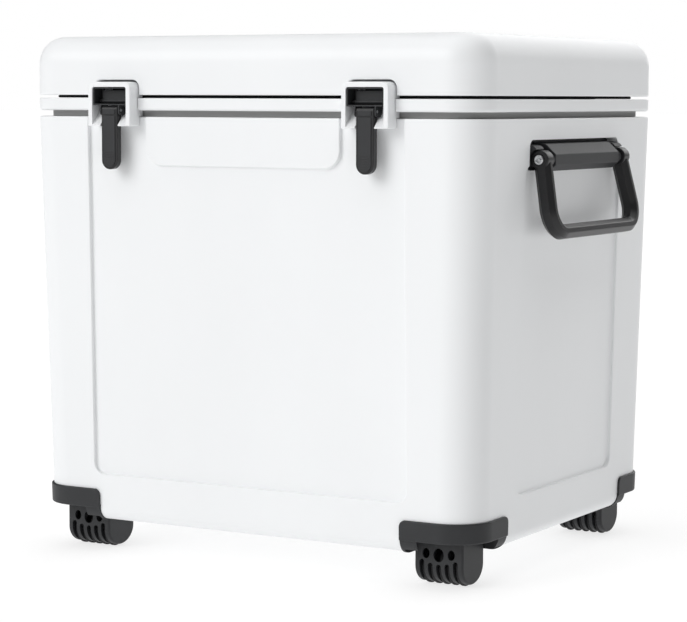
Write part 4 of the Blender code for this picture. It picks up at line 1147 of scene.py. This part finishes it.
class COOLER_OT_wheels(bpy.types.Operator):
    """Builds the four corner bumpers, wheel housings and ribbed wheels"""

    bl_idname = "cooler.wheels"
    bl_label = "Wheels and Bumpers"

    def execute(self, context):
        sizes = context.scene.cooler_sizes
        low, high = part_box("wheel_housing_front_right")
        for side, word in SIDES:
            for end, place in ENDS:
                name = f"{place}_{word}"
                piece(moved(bumper(), (side, end, 1)), f"bumper_{name}", "tub", "dark_plastic",
                      f"corner_bracket_{name}")
                hub = joint_place(f"wheel_{name}_roll")
                shroud = moved(housing(low, high), (1, 1, 1), (hub.x, hub.y, 0))
                piece(shroud, f"shroud_{name}", "tub", "dark_plastic", f"wheel_housing_{name}")
                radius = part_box(f"wheel_{name}")[1].z - hub.z
                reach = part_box(f"wheel_{name}")[1].x - hub.x
                core = [(0.0032, reach), (CORE - 0.0005, reach), (CORE, reach - 0.0005),
                        (CORE, 0.0005 - reach), (CORE - 0.0005, -reach), (0.0032, -reach)]
                rib = rolled(CORE - 0.0005, radius, sizes.rib_width / 2, 0.0009)
                ring = turned(rib, (0, 0, 0), "X")
                start = (hub.x - (RIB_COUNT - 1) / 2 * sizes.rib_pitch, hub.y, hub.z)
                ribs = grow("row", bare_host(), finish_of("wheel_rubber"), Piece=ring,
                            Count=RIB_COUNT, Start=start, Step=(sizes.rib_pitch, 0, 0))
                piece(turned(core, hub, "X"), f"roller_{name}", f"wheel_{name}", "wheel_rubber",
                      f"wheel_{name}")
                piece(ribs, f"roller_ribs_{name}", f"wheel_{name}", "wheel_rubber")
        return {"FINISHED"}


# ---- The hinges -------------------------------------------------------------------
class COOLER_OT_hinges(bpy.types.Operator):
    """Builds both rear hinges, with their leaf screws"""

    bl_idname = "cooler.hinges"
    bl_label = "Hinges"

    def execute(self, context):
        for side, word in SIDES:
            for part, body in (("tub", "tub"), ("lid", "lid")):
                node = f"hinge_leaf_{part}_{word}"
                low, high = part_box(node)
                piece(soft_copy(node, 0.0005), f"leaf_{part}_{word}", body, "dark_plastic", node)
                face = HALF_Y + 0.0033
                level = low.z + 0.010 if part == "tub" else high.z - 0.010
                head = turned([(0, 0.0012), (0.0022, 0.0011), (0.0033, 0.0007), (0.0038, 0.0),
                               (0.0038, -0.0006), (0, -0.0006)], (0, 0, 0), "Y", 32)
                cross = (box((-0.0019, 0.0004, -0.0004), (0.0019, 0.002, 0.0004)),
                         box((-0.0004, 0.0004, -0.0019), (0.0004, 0.002, 0.0019)))
                cut(head, *cross)
                pitch = 0.020
                middle = (low.x + high.x) / 2
                heads = grow("row", bare_host(), finish_of("steel"), Piece=head, Count=3,
                             Start=(middle - pitch, face, level), Step=(pitch, 0, 0))
                piece(heads, f"leaf_screws_{part}_{word}", body, "steel")
        return {"FINISHED"}


class COOLER_OT_small_parts(bpy.types.Operator):
    """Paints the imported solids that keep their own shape"""

    bl_idname = "cooler.small_parts"
    bl_label = "Small Parts"

    def execute(self, context):
        shown = {item["node"]: item["material_slot"] for item in frame["record"]["subparts"]}
        for node, obj in frame["nodes"].items():
            obj.data.materials.clear()
            obj.data.materials.append(finish_of(shown[node]))
        return {"FINISHED"}


# ---- The stage --------------------------------------------------------------------
def sun(name, strength, spread, tilt, turn):
    data = bpy.data.lights.new(name, "SUN")
    data.energy = strength
    data.angle = math.radians(spread)
    lamp = bpy.data.objects.new(name, data)
    lamp.rotation_euler = (math.radians(tilt), 0, math.radians(turn))
    bpy.context.scene.collection.objects.link(lamp)


class COOLER_OT_stage(bpy.types.Operator):
    """Sets the floor, the soft light and the camera"""

    bl_idname = "cooler.stage"
    bl_label = "Stage"

    def execute(self, context):
        stage = context.scene.cooler_stage
        bm = bmesh.new()
        bmesh.ops.create_grid(bm, x_segments=1, y_segments=1, size=60.0)
        floor = solid_from(bm, "floor")
        paint = Paint("pale_floor", specular=0.1)
        drift = paint.noise(0.4, 2.0)
        tint = paint.blend(drift, (0.29, 0.29, 0.29), (0.31, 0.31, 0.31))
        paint.shader.inputs["Emission Color"].default_value = (1.0, 1.0, 1.0, 1.0)
        paint.shader.inputs["Emission Strength"].default_value = stage.glow
        floor.data.materials.append(paint.end(tint, 0.85 + 0.05 * drift, paint.bump(drift, 0.0001)))

        world = context.scene.world or bpy.data.worlds.new("studio")
        context.scene.world = world
        world.use_nodes = True
        tree = world.node_tree
        tree.nodes.clear()
        seen = tree.nodes.new("ShaderNodeLightPath").outputs["Is Camera Ray"]
        strength = tree.nodes.new("ShaderNodeMapRange")
        tree.links.new(seen, strength.inputs["Value"])
        strength.inputs["To Min"].default_value = stage.sky
        strength.inputs["To Max"].default_value = 1.0
        sky = tree.nodes.new("ShaderNodeBackground")
        sky.inputs["Color"].default_value = (1.0, 1.0, 1.0, 1.0)
        tree.links.new(strength.outputs["Result"], sky.inputs["Strength"])
        out = tree.nodes.new("ShaderNodeOutputWorld")
        tree.links.new(sky.outputs["Background"], out.inputs["Surface"])

        sun("key_light", stage.key, 40, 62, -28)
        sun("top_light", stage.top, 70, 0, 0)
        sun("back_light", stage.back, 50, -63, 0)

        data = bpy.data.cameras.new("camera")
        data.lens = stage.lens
        data.sensor_width = 36.0
        data.clip_end = 200.0
        camera = bpy.data.objects.new("camera", data)
        aim = Matrix.Rotation(stage.azimuth, 4, "Z")
        aim = aim @ Matrix.Rotation(math.pi / 2 - stage.elevation, 4, "X")
        aim = aim @ Matrix.Rotation(stage.roll, 4, "Z")
        camera.matrix_world = Matrix.Translation(CAMERA_PLACE) @ aim
        context.scene.collection.objects.link(camera)
        context.scene.camera = camera
        context.scene.view_settings.view_transform = "Standard"
        return {"FINISHED"}


# ---- Add-on -------------------------------------------------------------------------
class COOLER_PT_panel(bpy.types.Panel):
    """Lists the sizes, the colours and the build steps"""

    bl_label = "Wheeled Cooler"
    bl_idname = "COOLER_PT_panel"
    bl_space_type = "VIEW_3D"
    bl_region_type = "UI"
    bl_category = "Cooler"

    def draw(self, context):
        for group in (context.scene.cooler_sizes, context.scene.cooler_colours,
                      context.scene.cooler_stage):
            frame_box = self.layout.box()
            for key in group.__annotations__:
                frame_box.prop(group, key)
        for step in STEPS:
            self.layout.operator(step.bl_idname)


STEPS = (COOLER_OT_small_parts, COOLER_OT_tub, COOLER_OT_rim, COOLER_OT_liner, COOLER_OT_lid,
         COOLER_OT_latches, COOLER_OT_handles, COOLER_OT_wheels, COOLER_OT_hinges,
         COOLER_OT_stage)
GROUPS = (("cooler_sizes", CoolerSizes), ("cooler_colours", CoolerColours),
          ("cooler_stage", CoolerStage))


def register():
    for name, group in GROUPS:
        bpy.utils.register_class(group)
        setattr(bpy.types.Scene, name, PointerProperty(type=group))
    for item in (*STEPS, COOLER_PT_panel):
        bpy.utils.register_class(item)


def unregister():
    for item in reversed((*STEPS, COOLER_PT_panel)):
        bpy.utils.unregister_class(item)
    for name, group in reversed(GROUPS):
        delattr(bpy.types.Scene, name)
        bpy.utils.unregister_class(group)


def main():
    register()
    for step in STEPS:
        family, name = step.bl_idname.split(".")
        if getattr(getattr(bpy.ops, family), name)() != {"FINISHED"}:
            raise RuntimeError(f"{step.bl_label} could not finish")


if __name__ == "__main__":
    main()
